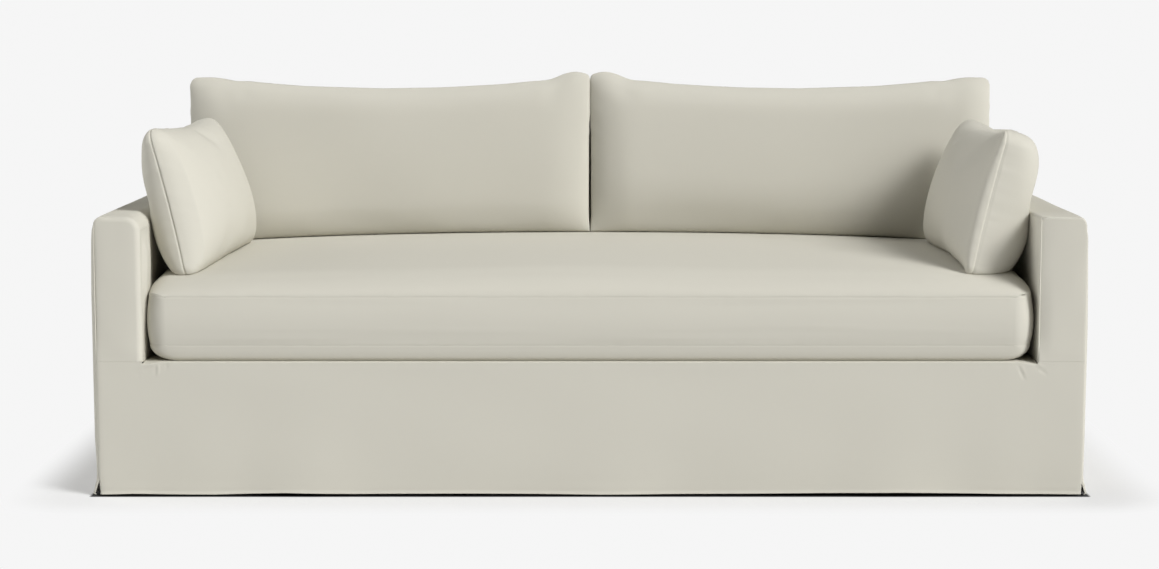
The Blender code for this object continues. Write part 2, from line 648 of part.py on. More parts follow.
# ---------------------------------------------------------------- back cushions
def make_back_cushion(side, name):
    """Loose back cushion: crowned front, corner ears, foot shaped to the seat."""
    width = BACK_OUTER - BACK_INNER
    s = stations(width / 2, BACK_SIDE_STEPS, 6)
    share = (1.0 + s) / 2                      # 0 at the outer side, 1 at the inner
    turn = np.radians([90.0, 55.0, 25.0, 0.0])
    from_top = BACK_TOP_ROUND * (1.0 - np.sin(turn)) / BACK_PANEL
    t = np.concatenate([BACK_FOOT_ROWS, np.linspace(*BACK_MIDDLE_ROWS, 4), (1.0 - from_top)[::-1]])
    place, height = np.array(BACK_TOP_LINE).T
    top = np.interp(share, place, height)
    base = BACK_OUTER - share * width
    foot = seat_top(base, np.full_like(base, BACK_FRONT - BACK_FOOT_FORWARD)) + BACK_SEAT_CLEAR
    level = foot[:, None] + t[None, :] * (top - foot)[:, None]
    across = np.repeat(base[:, None], len(t), axis=1)
    for corner, sign, end in (("outer", 1.0, 0.0), ("inner", -1.0, 1.0)):
        radius = BACK_CORNER[corner]
        over = np.clip(1.0 - (top[:, None] - level) / radius, 0.0, 1.0)
        draw = radius * (1.0 - np.sqrt(1.0 - over**2))
        draw = draw + BACK_SIDE_DRAW * np.sin(math.pi * t)[None, :]
        near = np.clip(1.0 - np.abs(share - end)[:, None] * width / BACK_SIDE_REACH, 0.0, 1.0)
        across = across - sign * draw * near
    lean = BACK_CUSHION_LEAN * (level - foot.max())
    rim_side = rise(np.minimum(share, 1.0 - share) * width / BACK_RIM)[:, None]
    rim_end = rise(np.minimum(t, 1.0 - t) * BACK_PANEL / BACK_RIM)[None, :]
    dome = ((1.0 - s**2)[:, None] * (1.0 - (2.0 * t - 1.0) ** 2)[None, :]) ** BACK_FLATNESS
    swell = rim_side * rim_end * (BACK_RIM_SHARE + (1.0 - BACK_RIM_SHARE) * dome)
    front = BACK_FRONT + lean - BACK_CROWN * swell
    free_rear = BACK_REAR + BACK_REAR_LEAN * lean + BACK_REAR_CROWN * swell
    tipped = level - BACK_CUSHION_LEAN * (free_rear - front) * ease((t - 0.5) / 0.5)[None, :]
    rear = np.minimum(free_rear, depth_of_back(tipped) - BACK_REST_CLEAR)
    front_panel = np.stack([side * across, at_depth(front), level], axis=-1)
    rear_panel = np.stack([side * across, at_depth(rear), tipped], axis=-1)
    rim = rim_of(len(s), len(t))
    first = np.array([front_panel[i, j] for i, j in rim])
    last = np.array([rear_panel[i, j] for i, j in rim])
    at_top = np.array([ease((t[j] - 0.9) / 0.1) for i, j in rim])
    rings = []
    for part in (0.3, 0.7):
        ring = first + part * (last - first)
        ring[:, 2] += BACK_TOP_PUFF * math.sin(math.pi * part) * at_top
        rings.append(ring)
    return add_cushion(name, front_panel, rear_panel, rings)


# ---------------------------------------------------------------- side pillows
def make_side_pillow(side, name):
    """Small knife-edged pillow leaning on the arm, its foot flattened on the seat."""
    corners = {key: np.array(value) for key, value in PILLOW_CORNERS.items()}
    if side > 0:
        for key, change in PILLOW_RIGHT_CHANGES.items():
            corners[key] = corners[key] + np.array(change)
    long_half = 0.5 * np.linalg.norm(corners["rear_top"] - corners["front_top"])
    tall_half = 0.5 * np.linalg.norm(corners["front_top"] - corners["front_bottom"])
    turn = np.radians([90.0, 60.0, 30.0, 0.0])
    corner_steps = list(PILLOW_CORNER * (1.0 - np.sin(turn)))
    s = stations(long_half, corner_steps + [PILLOW_EDGE_ROW], 4)[:, None]
    t = stations(tall_half, corner_steps + [PILLOW_EDGE_ROW], 4)[None, :]
    over = np.clip(1.0 - (1.0 - np.abs(t)) * tall_half / PILLOW_CORNER, 0.0, 1.0)
    shrink = PILLOW_CORNER / long_half * (1.0 - np.sqrt(1.0 - over**2))
    u = s * (1.0 - shrink - PILLOW_DRAW * (1.0 - t**2))
    v = t * (1.0 - PILLOW_DRAW * (1.0 - s**2))
    u = (u + 1.0) / 2
    v = (v + 1.0) / 2
    flat = (
        (1 - u)[..., None] * v[..., None] * corners["front_top"]
        + (1 - u)[..., None] * (1 - v)[..., None] * corners["front_bottom"]
        + u[..., None] * v[..., None] * corners["rear_top"]
        + u[..., None] * (1 - v)[..., None] * corners["rear_bottom"]
    )
    along = corners["rear_top"] + corners["rear_bottom"] - corners["front_top"] - corners["front_bottom"]
    upward = corners["front_top"] + corners["rear_top"] - corners["front_bottom"] - corners["rear_bottom"]
    turn = np.clip(1.0 - (s + 1.0) / PILLOW_TURN_RUN, 0.0, 1.0) ** 2 * (side > 0)
    flat[..., 0] += PILLOW_TURN * turn
    facing = np.cross(upward, along)
    facing = facing / np.linalg.norm(facing)
    facing = facing * np.sign(facing[0])
    round_off = (1.0 - s**2) * (1.0 - t**2)
    panels = []
    for way in (1, -1):
        swell = PILLOW_SWELL[way] * round_off**PILLOW_FULLNESS * (1.0 - PILLOW_SAG * t)
        swell = swell * (1.0 + PILLOW_TURN_SHARE[way] * turn * ease((t + 1.3) / 1.2))
        panel = flat + way * swell[..., None] * facing
        over_arm = ease((panel[..., 2] - ARM_TOP - PILLOW_OVERHANG) / PILLOW_OVERHANG_RUN)
        limit = -(ARM_INNER - PILLOW_ARM_CLEAR) - PILLOW_REACH * over_arm
        panel[..., 0] = np.maximum(panel[..., 0], limit)
        rest = seat_top(panel[..., 0], panel[..., 1]) + PILLOW_SEAT_CLEAR
        panel[..., 2] = np.maximum(panel[..., 2], rest)
        panel[..., 1] = at_depth(panel[..., 1])
        panel[..., 0] = panel[..., 0] * (1.0 if side < 0 else -1.0)
        panels.append(panel)
    return add_cushion(name, panels[0], panels[1])


def main():
    for thing in list(bpy.data.objects):
        bpy.data.objects.remove(thing, do_unlink=True)
    make_skirt_front()
    make_deck()
    make_back_inside()
    make_back_top()
    make_back_outer()
    for side, word in ((-1, "left"), (1, "right")):
        make_arm_front(side, "arm_front_" + word)
        make_arm_inside(side, "arm_inside_" + word)
        make_arm_top(side, "arm_top_" + word)
        make_arm_outer(side, "arm_outer_" + word)
        make_back_end(side, "back_end_" + word)
        make_back_cushion(side, "back_cushion_" + word)
        make_side_pillow(side, "side_pillow_" + word)
    make_seat_cushion()


main()
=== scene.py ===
"""Slipcover set for a long sofa: hollow fitted body cover, bench seat cushion,
two back cushions and two small side pillows, dressed in plain linen.

Metres, +Z up, front towards -Y.  Depths are measured from the front plane of the
arms towards the back.
"""

import math

import bpy
import numpy as np
from bpy.props import FloatProperty, FloatVectorProperty, PointerProperty
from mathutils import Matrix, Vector


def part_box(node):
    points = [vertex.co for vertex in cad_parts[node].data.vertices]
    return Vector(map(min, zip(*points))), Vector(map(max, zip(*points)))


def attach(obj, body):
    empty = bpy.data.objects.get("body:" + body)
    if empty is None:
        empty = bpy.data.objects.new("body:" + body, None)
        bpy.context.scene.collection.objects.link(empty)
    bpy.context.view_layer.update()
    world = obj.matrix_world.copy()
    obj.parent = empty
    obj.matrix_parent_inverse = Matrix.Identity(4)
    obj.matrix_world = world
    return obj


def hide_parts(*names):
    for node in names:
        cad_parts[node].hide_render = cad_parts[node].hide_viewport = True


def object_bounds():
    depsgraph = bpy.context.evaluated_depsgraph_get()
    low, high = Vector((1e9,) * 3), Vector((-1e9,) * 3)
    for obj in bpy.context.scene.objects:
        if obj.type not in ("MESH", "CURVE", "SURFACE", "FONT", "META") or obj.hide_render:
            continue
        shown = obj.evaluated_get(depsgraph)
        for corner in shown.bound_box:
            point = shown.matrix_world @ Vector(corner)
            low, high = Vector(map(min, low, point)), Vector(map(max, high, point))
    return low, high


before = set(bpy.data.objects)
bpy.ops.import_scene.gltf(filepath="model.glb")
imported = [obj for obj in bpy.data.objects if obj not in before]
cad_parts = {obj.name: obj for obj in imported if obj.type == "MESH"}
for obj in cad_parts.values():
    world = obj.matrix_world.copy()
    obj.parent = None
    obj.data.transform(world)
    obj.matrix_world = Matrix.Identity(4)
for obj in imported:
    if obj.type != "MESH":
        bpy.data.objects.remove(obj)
CAD_LOW, CAD_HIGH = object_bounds()

bl_info = {
    "name": "Sofa slipcover set",
    "version": (1, 0, 0),
    "blender": (4, 5, 0),
    "location": "3D View > Sidebar > Slipcover",
    "description": "Builds a fitted linen slipcover with its covered cushions",
    "category": "Add Mesh",
}

BODY = "root"
SIDES = ((-1, "left"), (1, "right"))

# ------------------------------------------------------------------ body cover
FRONT_LOW, FRONT_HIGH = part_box("arm_front_right")
HALF_WIDTH = FRONT_HIGH[0]
ARM_INNER = FRONT_LOW[0]
ARM_WIDTH = HALF_WIDTH - ARM_INNER
ARM_TOP = FRONT_HIGH[2]
FRONT_Y = FRONT_LOW[1]
DEPTH = -2.0 * FRONT_Y
DECK_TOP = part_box("deck")[1][2]
BACK_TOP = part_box("back_top")[1][2]
BACK_FOOT_DEPTH = 0.815
BACK_LEAN = 0.076
GAP = 0.0003
OUTER_BEND = 0.018
BACK_BEND = 0.016
INNER_BEND = {-1: 0.032, 1: 0.005}
SEAM_OUT = {-1: 0.0034, 1: 0.0058}   # how far the front's side edges stand out
EDGE_FALL = {-1: 0.0040, 1: 0.0016}  # how far the front falls back beside them
SIDE_PUFF = {
    # height and how far the side panel's front and rear edges puff out
    -1: np.array(((0.0, 0.0055), (0.08, 0.0058), (0.13, 0.0085), (0.45, 0.0085),
                  (0.57, 0.0060), (0.590, 0.0042), (0.602, 0.0))),
    1: np.array(((0.0, 0.0055), (0.12, 0.0070), (0.36, 0.0085), (0.44, 0.0072),
                 (0.55, 0.0045), (0.602, 0.0))),
}
ARM_LIP = {-1: 0.012, 1: 0.0012}      # roll of the front's inner edge
ARM_TOP_LIP = {-1: 0.012, 1: 0.005}   # and of its top edge
ARM_SEAM_DEPTH = 0.0032               # how far back the front's sharp edges turn
ARM_TAPER = 0.016                     # run over which the top roll dies out beside a sharp edge
ARM_TUCK = 0.0015                     # reach of the tuck at a sewn top corner
ARM_FALL = {
    # how far the front falls back at its outer and inner edges, and over what run
    -1: (0.0030, 0.030, 0.0016, 0.025),
    1: (0.0004, 0.020, 0.0053, 0.028),
}
ARM_PUFF = {-1: 0.0085, 1: 0.0}       # how far the inner face puffs out near the front
ARM_PUFF_HEIGHT = ((0.30, 0.36, 0.44, 0.50, 0.555, 0.600, 0.64), (0.1, 0.2, 0.75, 1.0, 1.0, 0.45, 0.0))
ARM_PUFF_DEPTH = ((0.0, 0.018, 0.045, 0.080, 0.130, 1.0), (0.0, 0.0, 1.0, 0.9, 0.0, 0.0))
SKIRT_LIP = 0.0016                   # roll of the fall's top below the seat

# ------------------------------------------------------------------ sewing
CORNER_LIP = (0.0020, 135.0, 0.0029)  # radius, turn and margin at a sewn corner
FLAT_LIP = (0.0004, 90.0, 0.0001)     # the same at a seam within a face
HEM_LIP = (0.0014, 90.0, 0.0)
RAW = (0.0, 0.0, 0.0)                 # edge that stays hidden
LIP_TAIL = 0.0015
LEADS = (0.0015, 0.0035, 0.0065, 0.0110, 0.0175)  # fine rows beside a lip
HEM_DEEP = 0.024                      # depth of the turned-up hem
HEM_PLY = 0.0006                      # how far its second ply stands out

# ------------------------------------------------------------------ falls
HEM_LIFT = 0.0030
HEM_FLARE = 0.0028                    # how far the very edge stands out
SIDE_HEM_LIFT = 0.0040
SIDE_HEM_WAVE = 0.003                 # how far the outside arms' hems lift with their waves
REAR_HEM_WAVE = 0.0025                # the same for the outside back
REAR_HEM_RATE = 7.3                   # radians of that wave for each metre
REAR_HEM_PHASE = 0.6
WAVE_POWER = 1.3                      # how slowly a wave grows from the seam to the hem
SIDE_WAVE_LENGTH = 0.34
HEM_HIGHLIGHT = 0.8                        # painted highlight: how much lighter the front hem's very edge is painted
HEM_HIGHLIGHT_DEEP = 0.007
UNDER_SEAT_SHADE = 0.9                # painted shadow strip on the fall along the seat cushion's foot
UNDER_SEAT_RUN = 0.0075               # and the run over which it fades
LIP_SPLIT = 0.1                       # height between the lips at a hem and those at a seam
TOP_SEAM_SHARE = 0.2                  # how much of the painted seam shade the arms' tops take
FREE_RUN = 0.05                       # run from an edge to where a panel drifts freely
CORNER_SAG_REACH = 0.05
FALL_WAVE = 0.0045
VENT_HEIGHT = 0.045
VENT_FLARE = 0.0115
VENT_REACH = 0.055
VENT_POWER = 1.6
VENT_DRAW = 0.004
CORNER_SAG = 0.005
SEAT_SAG = 0.0004                     # dip of the fall's top under the seat
FRONT_HEM = np.array((
    # share of the half width, lift
    (-1.00, 0.000),
    (-0.93, 0.0020),
    (-0.86, 0.0010),
    (-0.76, 0.0005),
    (-0.62, 0.0045),
    (-0.48, 0.0020),
    (-0.25, 0.0028),
    (0.02, 0.0008),
    (0.30, 0.0022),
    (0.50, 0.0040),
    (0.63, 0.0055),
    (0.76, 0.0030),
    (1.00, 0.0005),
))
FRONT_WAVES = (
    # middle as a share of the half width, reach, height
    (-0.80, 0.12, 0.55),
    (-0.58, 0.14, 0.95),
    (-0.27, 0.18, 0.50),
    (0.05, 0.16, 0.70),
    (0.34, 0.20, 0.45),
    (0.62, 0.15, 1.00),
    (0.84, 0.10, 0.50),
)
BACK_WAVES = (
    (-0.70, 0.16, 0.70),
    (-0.33, 0.18, 0.45),
    (0.02, 0.16, 0.80),
    (0.40, 0.20, 0.50),
    (0.74, 0.14, 0.75),
)
# Pulls below each deck corner: from and to as distance out from the arm's inner
# face and down from the deck, then width and height, for each side.
CORNER_PULLS = {
    # out, down, out, down, width, height
    -1: (
        (-0.026, 0.002, -0.004, 0.012, 0.0030, 0.0009),
        (-0.024, 0.008, 0.003, 0.025, 0.0032, -0.0011),
        (-0.034, 0.004, -0.036, 0.016, 0.0030, 0.0011),
        (-0.037, 0.013, -0.033, 0.032, 0.0028, 0.0009),
        (-0.030, 0.012, -0.027, 0.030, 0.0030, -0.0006),
        (-0.057, 0.003, -0.051, 0.017, 0.0030, -0.0008),
        (0.000, 0.022, 0.014, 0.031, 0.0030, -0.0005),
    ),
    1: (
        (-0.046, 0.004, -0.028, 0.042, 0.0034, -0.0012),
        (-0.038, 0.008, -0.026, 0.028, 0.0030, 0.0008),
        (-0.008, 0.008, 0.022, 0.029, 0.0035, -0.0011),
        (-0.002, 0.004, 0.016, 0.014, 0.0030, 0.0007),
        (-0.056, 0.002, -0.018, 0.006, 0.0030, -0.0006),
    ),
}
PULL_STEP = 0.0028

# ------------------------------------------------------------------ seat cushion
SEAT_FRONT = 0.008
SEAT_BACK = 0.800
SEAT_HALF = 0.9838
SEAT_DRAW = 0.0165
SEAT_DRAW_DEPTH = 0.12
SEAT_CORNER = 0.035
SEAT_LOW_SEAM = 0.335
SEAT_HIGH_SEAM = 0.442
SEAT_CROWN = 0.088
SEAT_PEAK_DEPTH = 0.500
SEAT_EDGE_SHARE = 0.6
SEAT_ARCH_POWER = 0.63
SEAT_BACK_FALL = 0.3
SEAT_RIM = 0.060
SEAT_FRONT_RIM = 0.100
SEAT_UNDER_RIM = 0.048
SEAT_UNDER_FRONT = 0.0065
SEAT_UNDER_POWER = 1.25
SEAT_UNDER_GAP = 0.0012
SEAT_PUFF = 0.006

# ------------------------------------------------------------------ back cushions
BACK_INNER = 0.0009
BACK_OUTER = 0.9765
BACK_FRONT = 0.612
BACK_REAR = 0.798
BACK_CUSHION_LEAN = 0.11
BACK_CROWN = {-1: 0.038, 1: 0.047}
BACK_RIM = 0.075
BACK_INNER_RIM = 0.105               # the same beside the other cushion
BACK_INNER_POWER = {-1: 1.0, 1: 1.5}
BACK_TOP_RIM = 0.055
BACK_FOOT_RIM = {-1: 0.075, 1: 0.140}
BACK_FLATNESS = 0.4
BACK_RIM_SHARE = 0.55
BACK_REAR_LEAN = 0.7
BACK_PANEL = 0.36
BACK_REST_CLEAR = 0.0006
BACK_SEAT_CLEAR = 0.0008
BACK_CORNER = {"inner": 0.014, "outer": 0.020}
BACK_TOP_PUFF = 0.005
BACK_SIDE_DRAW = 0.0024
BACK_SIDE_REACH = 0.16
BACK_SEAM_DRAW = 0.0006
BACK_SEAM_RUN = 0.0013
BACK_TOP_LINE = np.array((
    # share from the outer side, height
    (0.000, 0.9030),
    (0.040, 0.9037),
    (0.080, 0.8985),
    (0.105, 0.8925),
    (0.128, 0.8955),
    (0.180, 0.8903),
    (0.280, 0.8822),
    (0.480, 0.8764),
    (0.630, 0.8790),
    (0.780, 0.8868),
    (0.865, 0.8950),
    (0.905, 0.8962),
    (0.955, 0.9165),
    (0.982, 0.9175),
    (1.000, 0.9130),
))

# ------------------------------------------------------------------ side pillows
PILLOW_CORNERS = {
    "front_top": (-0.982, 0.100, 0.806),
    "front_bottom": (-0.898, 0.072, 0.470),
    "rear_top": (-0.912, 0.540, 0.812),
    "rear_bottom": (-0.826, 0.552, 0.506),
}
PILLOW_RIGHT_CHANGES = {
    "front_top": (0.000, 0.004, -0.002),
    "rear_top": (0.006, 0.000, -0.004),
    "rear_bottom": (0.002, -0.004, 0.000),
}
PILLOW_SWELL = {1: 0.088, -1: 0.096}
PILLOW_FULLNESS = {(-1, 1): 0.36, (-1, -1): 0.36, (1, 1): 0.36, (1, -1): 0.25}  # by pillow and panel
PILLOW_DRAW = 0.055
PILLOW_CORNER = 0.034
PILLOW_SAG = 0.14
PILLOW_TURN = 0.050                  # how far in the right pillow's front seam is pulled
PILLOW_TURN_RUN = 0.60
PILLOW_TURN_SHARE = {1: -0.25, -1: 0.60}  # change of the swell beside it
PILLOW_FOOT_SHARE = {1: 0.24, -1: 0.0}  # and where it stands on the seat
PILLOW_SEAM_DRAW = 0.0026
PILLOW_SEAM_RUN = 0.0018
PILLOW_MARK_RUN = 0.0022
PILLOW_TOP_LINE = {
    # place from the front corner (-1) to the rear one (1), lift of the top
    -1: ((-1.0, -0.4, 0.2, 0.55, 0.75, 1.0), (0.0, -0.0015, -0.003, 0.0, 0.0025, 0.0)),
    1: ((-1.0, -0.6, -0.2, 0.25, 0.5, 0.75, 1.0), (0.0, -0.004, -0.009, -0.012, -0.006, 0.0, 0.0)),
}
PILLOW_BAND_RUN = 0.0285             # from the left pillow's front seam to the fold beside it
PILLOW_BAND_DIP = 0.0040
PILLOW_SEAT_CLEAR = 0.0011
PILLOW_ARM_CLEAR = 0.0009
PILLOW_OVERHANG_RUN = 0.12
PILLOW_REACH = 0.026


# ------------------------------------------------------------------ shape helpers
def settings():
    """The sizes and colours of this scene."""
    return bpy.context.scene.slipcover


def at_depth(depth):
    """World y of a depth behind the front plane."""
    return depth + FRONT_Y


def depth_of_back(height):
    """Depth of the inside back's front face: its foot plus the lean times the height."""
    return BACK_FOOT_DEPTH + BACK_LEAN * (height - DECK_TOP)


def rise(share):
    """Quarter circle from 0 at an edge to 1 at a share of 1."""
    left = 1.0 - np.clip(share, 0.0, 1.0)
    return np.sqrt(np.clip(1.0 - left * left, 0.0, 1.0))


def ease(share):
    """Smooth step from 0 to 1: three squares less two cubes."""
    share = np.clip(share, 0.0, 1.0)
    return share * share * (3.0 - 2.0 * share)


def hump(distance, reach):
    """Squared cosine bump of height 1 that ends at the reach."""
    share = np.clip(np.abs(distance) / reach, 0.0, 1.0)
    return np.cos(share * math.pi / 2) ** 2


def drift(u, v, seed, reach, height):
    """Slow unevenness: a sum of six sine waves in seeded directions and phases."""
    chance = np.random.default_rng(seed)
    total = np.zeros(np.broadcast(u, v).shape)
    for turn, phase, size in chance.random((6, 3)):
        angle = turn * 2.0 * math.pi
        length = reach * (0.6 + 0.9 * size)
        wave = (u * math.cos(angle) + v * math.sin(angle)) * 2.0 * math.pi / length
        total = total + np.sin(wave + phase * 2.0 * math.pi)
    return total * height / 3.0


def creases(u, v, rows):
    """Soft ridges along straight strokes.

    Each stroke is a bell across its line times a half sine along it; a negative
    height makes a trough.
    """
    total = np.zeros(np.broadcast(u, v).shape)
    for u0, v0, u1, v1, width, height in rows:
        length = math.hypot(u1 - u0, v1 - v0)
        du, dv = (u1 - u0) / length, (v1 - v0) / length
        along = ((u - u0) * du + (v - v0) * dv) / length
        aside = (v - v0) * du - (u - u0) * dv
        taper = np.sin(np.clip(along, 0.0, 1.0) * math.pi) ** 0.8
        total = total + height * np.exp(-((aside / width) ** 2)) * taper
    return total


def puckers(along, away, seed, height, reach):
    """Small gathers beside a seam: three sines along it that die out away from it."""
    chance = np.random.default_rng(seed)
    total = 0.0
    for length, share in ((0.021, 0.5), (0.034, 0.8), (0.057, 1.0)):
        phase, beat = chance.random(2) * 2.0 * math.pi
        strength = 0.55 + 0.45 * np.sin(along * 2.0 * math.pi / (length * 6.3) + beat)
        total = total + share * strength * np.sin(along * 2.0 * math.pi / length + phase)
    return height * total * np.exp(-away / reach)


def unit(vectors):
    """Vectors scaled to a length of 1."""
    length = np.linalg.norm(vectors, axis=-1, keepdims=True)
    return vectors / np.maximum(length, 1e-12)


def normals_of(points):
    """Unit cross product of a grid's two tangents."""
    return unit(np.cross(np.gradient(points, axis=0), np.gradient(points, axis=1)))


def lip(radius, turn, margin):
    """Rolled edge, from its hidden tip to where it joins the face.

    An arc of the radius through the turn, and a straight tail beyond it.  Returns
    distances from the panel's edge and depths under its face.
    """
    if radius == 0.0:
        return np.array([margin]), np.array([0.0])
    angle = np.radians(np.linspace(turn, 0.0, 7))
    inset = radius * (1.0 - np.sin(angle)) + margin
    depth = radius * (1.0 - np.cos(angle))
    tip = (inset[0] - math.cos(angle[0]) * LIP_TAIL, depth[0] + math.sin(angle[0]) * LIP_TAIL)
    return np.concatenate([[tip[0]], inset]), np.concatenate([[tip[1]], depth])


def run(low, high, start, end, step, extra=()):
    """Stations from one edge of a panel to the other, with their depths.

    The lips come first and last, fine rows lie beside them, and even steps with
    the extra stations fill the rest.
    """
    inset_start, depth_start = lip(*start)
    inset_end, depth_end = lip(*end)
    first = low + inset_start[-1] + np.array(LEADS)
    last = high - inset_end[-1] - np.array(LEADS)[::-1]
    count = max(2, int(round((last[0] - first[-1]) / step)))
    middle = np.linspace(first[-1], last[0], count + 1)[1:-1]
    middle = np.union1d(middle, np.array(extra, float))
    place = np.concatenate([low + inset_start, first, middle, last, (high - inset_end)[::-1]])
    depth = np.zeros(len(place))
    depth[: len(depth_start)] = depth_start
    depth[len(depth) - len(depth_end):] = depth_end[::-1]
    return place, depth


def mesh_from(name, points, faces, corners, seam):
    """Mesh object from arrays of points, four-sided faces, their corners' cloth
    coordinates and each point's painted shade (a painted highlight where negative)."""
    mesh = bpy.data.meshes.new(name)
    mesh.from_pydata(points.tolist(), [], faces.tolist())
    layer = mesh.uv_layers.new(name="cloth")
    layer.data.foreach_set("uv", corners.reshape(-1).astype(np.float32))
    # Point attribute of painted light: the material paints the cloth darker by it as shade in seams and
    # under the seat, and lighter where negative as a highlight at the front hem.
    mark = mesh.attributes.new("seam", "FLOAT", "POINT")
    mark.data.foreach_set("value", np.clip(seam, -1.0, 1.0).astype(np.float32))
    mesh.shade_smooth()
    thing = bpy.data.objects.new(name, mesh)
    bpy.context.scene.collection.objects.link(thing)
    return thing


def cells(index):
    """The four corners of every cell of a grid of indices."""
    return np.stack(
        [index[:-1, :-1], index[1:, :-1], index[1:, 1:], index[:-1, 1:]], axis=-1
    ).reshape(-1, 4)


def cloth_sheet(name, points, cloth, seam, facing, keep=None):
    """Thin sheet from a grid of points that lie on its outer face.

    facing is a direction that the outer face looks to, and keep says which cells
    are cloth.  The thickness goes inwards.
    """
    rows, columns = points.shape[:2]
    index = np.arange(rows * columns).reshape(rows, columns)
    faces = cells(index)
    if (normals_of(points).mean(axis=(0, 1)) * np.array(facing)).sum() < 0.0:
        faces = faces[:, ::-1]
    if keep is not None:
        faces = faces[keep.reshape(-1)]
    used = np.unique(faces)
    place = np.zeros(rows * columns, int)
    place[used] = np.arange(len(used))
    flat = cloth.reshape(-1, 2)
    thing = mesh_from(name, points.reshape(-1, 3)[used], place[faces], flat[faces], seam.reshape(-1)[used])
    wall = thing.modifiers.new("cloth thickness", "SOLIDIFY")
    wall.thickness = settings().cloth_thickness
    wall.offset = -1.0
    return thing


def rim_of(rows, columns):
    """Row and column numbers once round the edge of a grid."""
    down = np.stack([np.arange(rows - 1), np.zeros(rows - 1, int)], axis=1)
    along = np.stack([np.full(columns - 1, rows - 1), np.arange(columns - 1)], axis=1)
    up = np.stack([np.arange(rows - 1, 0, -1), np.full(rows - 1, columns - 1)], axis=1)
    back = np.stack([np.zeros(columns - 1, int), np.arange(columns - 1, 0, -1)], axis=1)
    return np.concatenate([down, along, up, back])


def closed_form(name, front, rear, rings, cloth_front, cloth_rear, seams):
    """Closed cushion from two panel grids and the rows of boxing between them.

    The last argument holds three arrays of painted seam shade: on the front panel, on
    the rear one and on the rings.  Without rings the panels share their rim.
    """
    rows, columns = front.shape[:2]
    rim = rim_of(rows, columns)
    count = rows * columns
    index = np.arange(count).reshape(rows, columns)
    loops = [index[rim[:, 0], rim[:, 1]]]
    points = [front.reshape(-1, 3)]
    marks = [seams[0].reshape(-1)]
    total = count
    for ring, mark in zip(rings, seams[2]):
        loops.append(total + np.arange(len(rim)))
        points.append(ring)
        marks.append(mark)
        total += len(rim)
    inner = np.ones((rows, columns), bool)
    if not rings:
        inner[rim[:, 0], rim[:, 1]] = False
    back_index = index.copy()
    back_index[inner] = total + np.arange(inner.sum())
    points.append(rear[inner])
    marks.append(seams[1][inner])
    if rings:
        loops.append(back_index[rim[:, 0], rim[:, 1]])
    faces = [cells(index), cells(back_index)[:, ::-1]]
    plain = cells(index)
    corners = [cloth_front.reshape(-1, 2)[plain], cloth_rear.reshape(-1, 2)[plain[:, ::-1]]]
    points = np.concatenate(points)
    run_round = 0.0
    if rings:
        first = points[loops[0]]
        pace = np.linalg.norm(np.roll(first, -1, axis=0) - first, axis=1)
        run_round = np.concatenate([[0.0], np.cumsum(pace)])
        down = 0.0
        for high, low in zip(loops, loops[1:]):
            drop = np.linalg.norm(points[high] - points[low], axis=1).mean()
            quad = np.stack([np.roll(high, -1), high, low, np.roll(low, -1)], axis=1)
            across = np.stack([run_round[1:], run_round[:-1], run_round[:-1], run_round[1:]], axis=1)
            level = np.repeat(np.array([[down, down, down + drop, down + drop]]), len(rim), axis=0)
            faces.append(quad)
            corners.append(np.stack([across, level], axis=-1))
            down += drop
    faces = np.concatenate(faces)
    corners = np.concatenate(corners)
    a, b, c, d = (points[faces[:, k]] for k in range(4))
    if (np.cross(b - a, c - a) * a).sum() + (np.cross(c - a, d - a) * a).sum() < 0.0:
        faces = faces[:, ::-1]
        corners = corners[:, ::-1]
    return mesh_from(name, points, faces, corners, np.concatenate(marks))


def dress(thing, nodes):
    """Gives a piece its cloth and its body, and hides the CAD nodes that it stands for."""
    thing.data.materials.append(bpy.data.materials["linen"])
    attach(thing, BODY)
    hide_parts(*nodes)
    return thing


def grid(a, b):
    """Two parameter arrays as full grids."""
    return np.meshgrid(a, b, indexing="ij")


def painted_seam_shade(depth_a, depth_b):
    """Weight of the painted shade in a panel's seams: 1 down in its lips, 0 on its face."""
    near_a = np.clip(depth_a / CORNER_LIP[0], 0.0, 1.0)
    near_b = np.clip(depth_b / CORNER_LIP[0], 0.0, 1.0)
    return np.maximum(near_a[:, None], near_b[None, :])


def hem_ply(height):
    """Second ply of a turned-up hem, with the line of its stitches above it."""
    ply = HEM_PLY * (1.0 - ease((height - HEM_DEEP) / 0.002))
    return ply - 0.0007 * hump(height - HEM_DEEP + 0.001, 0.0018)


def round_corners(a, b, low, high, radii):
    """Pulls the corners of a rectangular grid in to quarter circles.

    radii holds the radius at each corner, keyed by its place: (0, 0) is low in
    both directions and (1, 1) high in both.
    """
    for (side_a, side_b), radius in radii.items():
        way_a, way_b = 2 * side_a - 1, 2 * side_b - 1
        centre_a = (high[0] if side_a else low[0]) - way_a * radius
        centre_b = (high[1] if side_b else low[1]) - way_b * radius
        out_a = (a - centre_a) * way_a
        out_b = (b - centre_b) * way_b
        inside = (out_a > 0.0) & (out_b > 0.0)
        reach = np.hypot(out_a, out_b)
        scale = np.where(inside, np.maximum(out_a, out_b) / np.maximum(reach, 1e-9), 1.0)
        a = np.where(inside, centre_a + way_a * out_a * scale, a)
        b = np.where(inside, centre_b + way_b * out_b * scale, b)
    return a, b


# ------------------------------------------------------------------ body cover pieces
def fall_wave(across, height, waves):
    """How far a fall stands off: humps along the hem that fade up to the seam."""
    total = np.zeros(np.broadcast(across, height).shape)
    for middle, reach, share in waves:
        total = total + share * hump(across - middle * HALF_WIDTH, reach)
    return FALL_WAVE * total * (1.0 - np.clip(height / DECK_TOP, 0.0, 1.0)) ** WAVE_POWER


def edge_share(run_in):
    """Share of the way that a face has fallen back at a distance from its edge."""
    return 1.0 - rise(run_in / 0.011)


